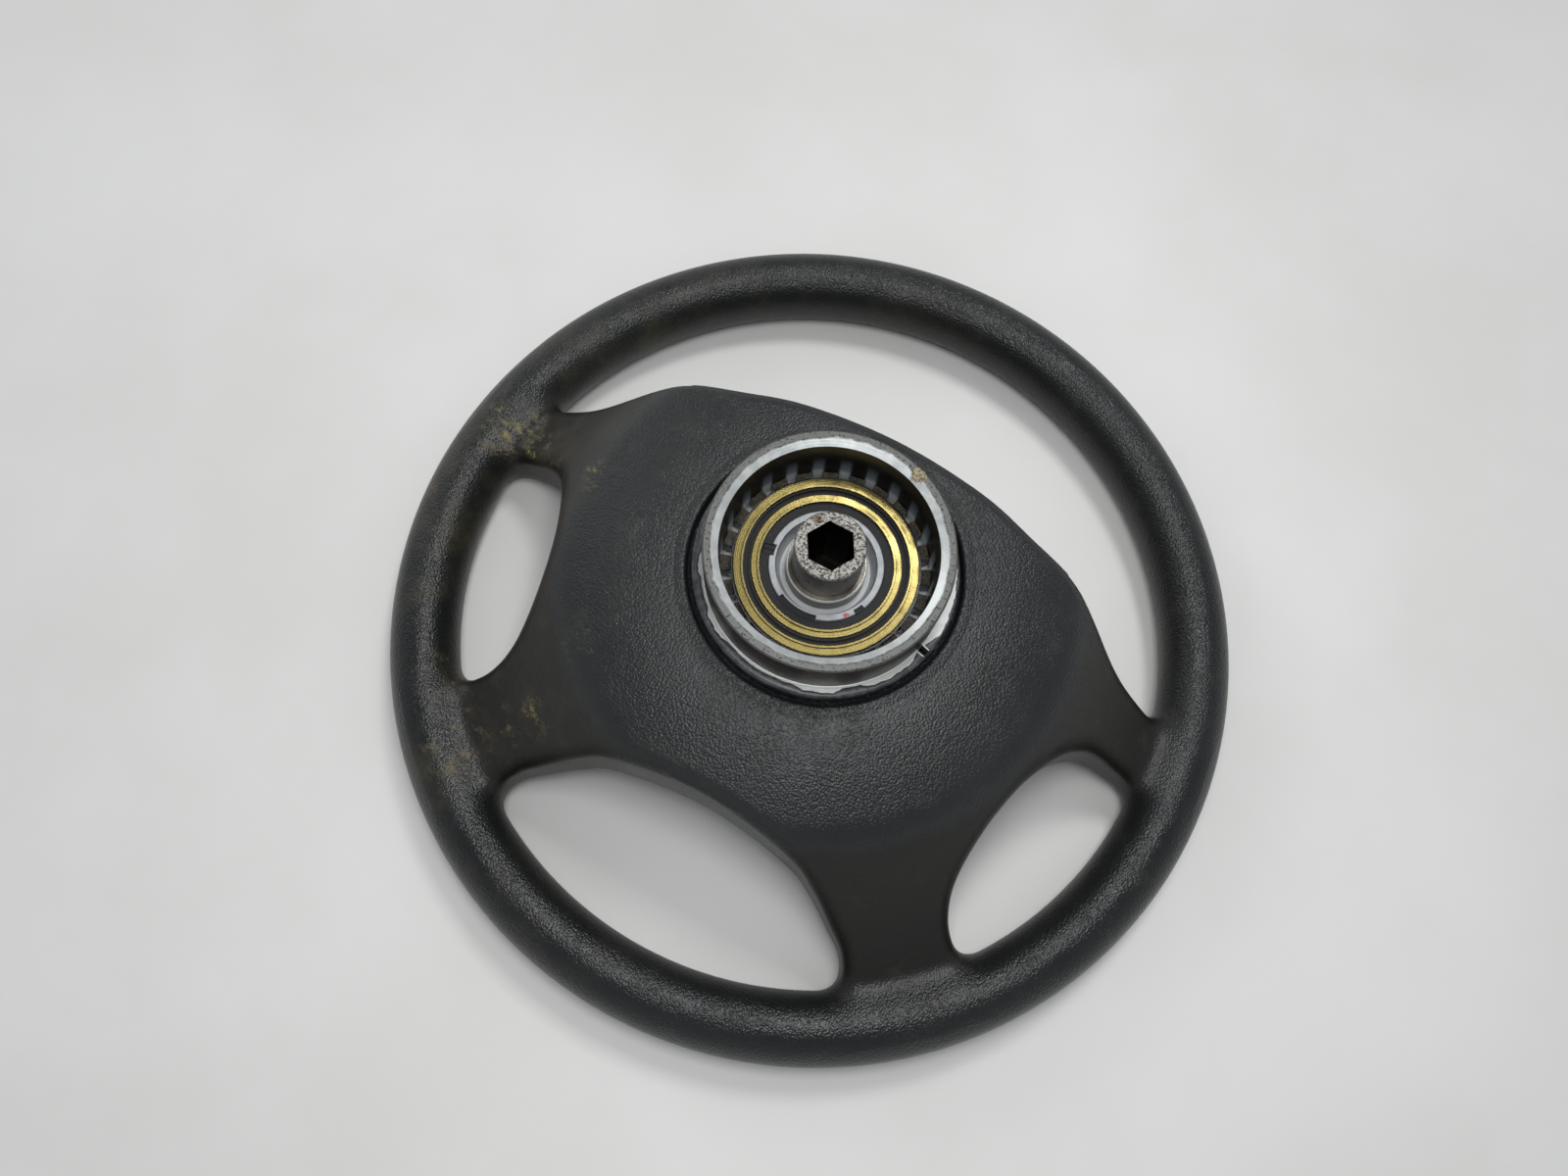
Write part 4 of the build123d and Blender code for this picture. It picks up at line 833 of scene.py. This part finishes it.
steel, ring_brass, primer, zinc = turned_steel(), brass(), black_primer(), zinc_plate()
finishes = {
    "rim_core": mill_steel(),
    "hub_plate": primer,
    "pad_plate": primer,
    "hub_casting": cast_alloy(),
    "hub_bolts": zinc,
    "pad_screws": zinc,
    "guide_screws": zinc,
    "insulator_screws": zinc,
    "tag_screw": zinc,
    "hex_boss": steel,
    "slip_ring_carrier": nylon(),
    "outer_slip_ring": ring_brass,
    "inner_slip_ring": ring_brass,
    "outer_ring_terminal": ring_brass,
    "inner_ring_terminal": ring_brass,
    "fixed_contact": ring_brass,
    "moving_contact": ring_brass,
    "return_tag": ring_brass,
    "contact_insulator": phenolic(),
    "horn_lead_live": lead_pvc("red_pvc", "#7c1812", "#9c2a20"),
    "horn_lead_return": lead_pvc("brown_pvc", "#3a2012", "#54331f"),
    "pad_cover": pad_skin(),
    "pad_springs": spring_wire(),
}
finishes["carrier_latch"] = finishes["slip_ring_carrier"]
for side in ("upper_right", "upper_left", "lower_right", "lower_left"):
    finishes["spoke_arm_" + side] = primer
for node, material in finishes.items():
    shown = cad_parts[node]
    shown.data.materials.clear()
    shown.data.materials.append(material)

# ------------------------------------------------------------------ floor, light and camera
floor_mesh = bpy.data.meshes.new("floor")
reach = 30.0
floor_mesh.from_pydata([(-reach, -reach, 0), (reach, -reach, 0), (reach, reach, 0), (-reach, reach, 0)], [],
                       [(0, 1, 2, 3)])
floor = bpy.data.objects.new("floor", floor_mesh)
bpy.context.scene.collection.objects.link(floor)
floor_mesh.materials.append(bench_paint())


def area_light(name, place, aim, size, power):
    """Square soft light at a place, aimed at a point."""
    light = bpy.data.lights.new(name, "AREA")
    light.size = size
    light.energy = power
    made = bpy.data.objects.new(name, light)
    made.location = place
    made.rotation_euler = (Vector(aim) - Vector(place)).to_track_quat("-Z", "Y").to_euler()
    bpy.context.scene.collection.objects.link(made)


area_light("flash_light", (0.03, -0.09, 0.82), (0, 0, 0.06), 0.24, 2.6)
area_light("ceiling_light", (0.0, 0.82, 1.65), (0, 0, 0.05), 0.4, 10)
area_light("window_light", (-2.0, 0.7, 1.2), (0, 0, 0.1), 1.0, 7)

# The room: brighter towards the horizon than overhead.
world = bpy.data.worlds.new("studio")
bpy.context.scene.world = world
world.use_nodes = True
sky = world.node_tree
direction = add(sky, "TexCoord", out="Generated")
up = add(sky, "SeparateXYZ", direction, out=2)
glow = add(sky, "MapRange", up, 0.0, 0.75, 0.82, 0.40, interpolation_type="SMOOTHSTEP")
backdrop = sky.nodes["Background"]
backdrop.inputs["Color"].default_value = linear("#e8ebee")
sky.links.new(glow, backdrop.inputs["Strength"])

camera_data = bpy.data.cameras.new("camera")
camera_data.lens = 28.125
camera_data.sensor_width = 36.0
camera = bpy.data.objects.new("camera", camera_data)
camera.location = (0.0507, -0.1793, 0.6576)
camera.rotation_euler = (0.3060, -0.0384, 0.4945)
bpy.context.scene.collection.objects.link(camera)
bpy.context.scene.camera = camera
bpy.context.scene.view_settings.view_transform = "Standard"
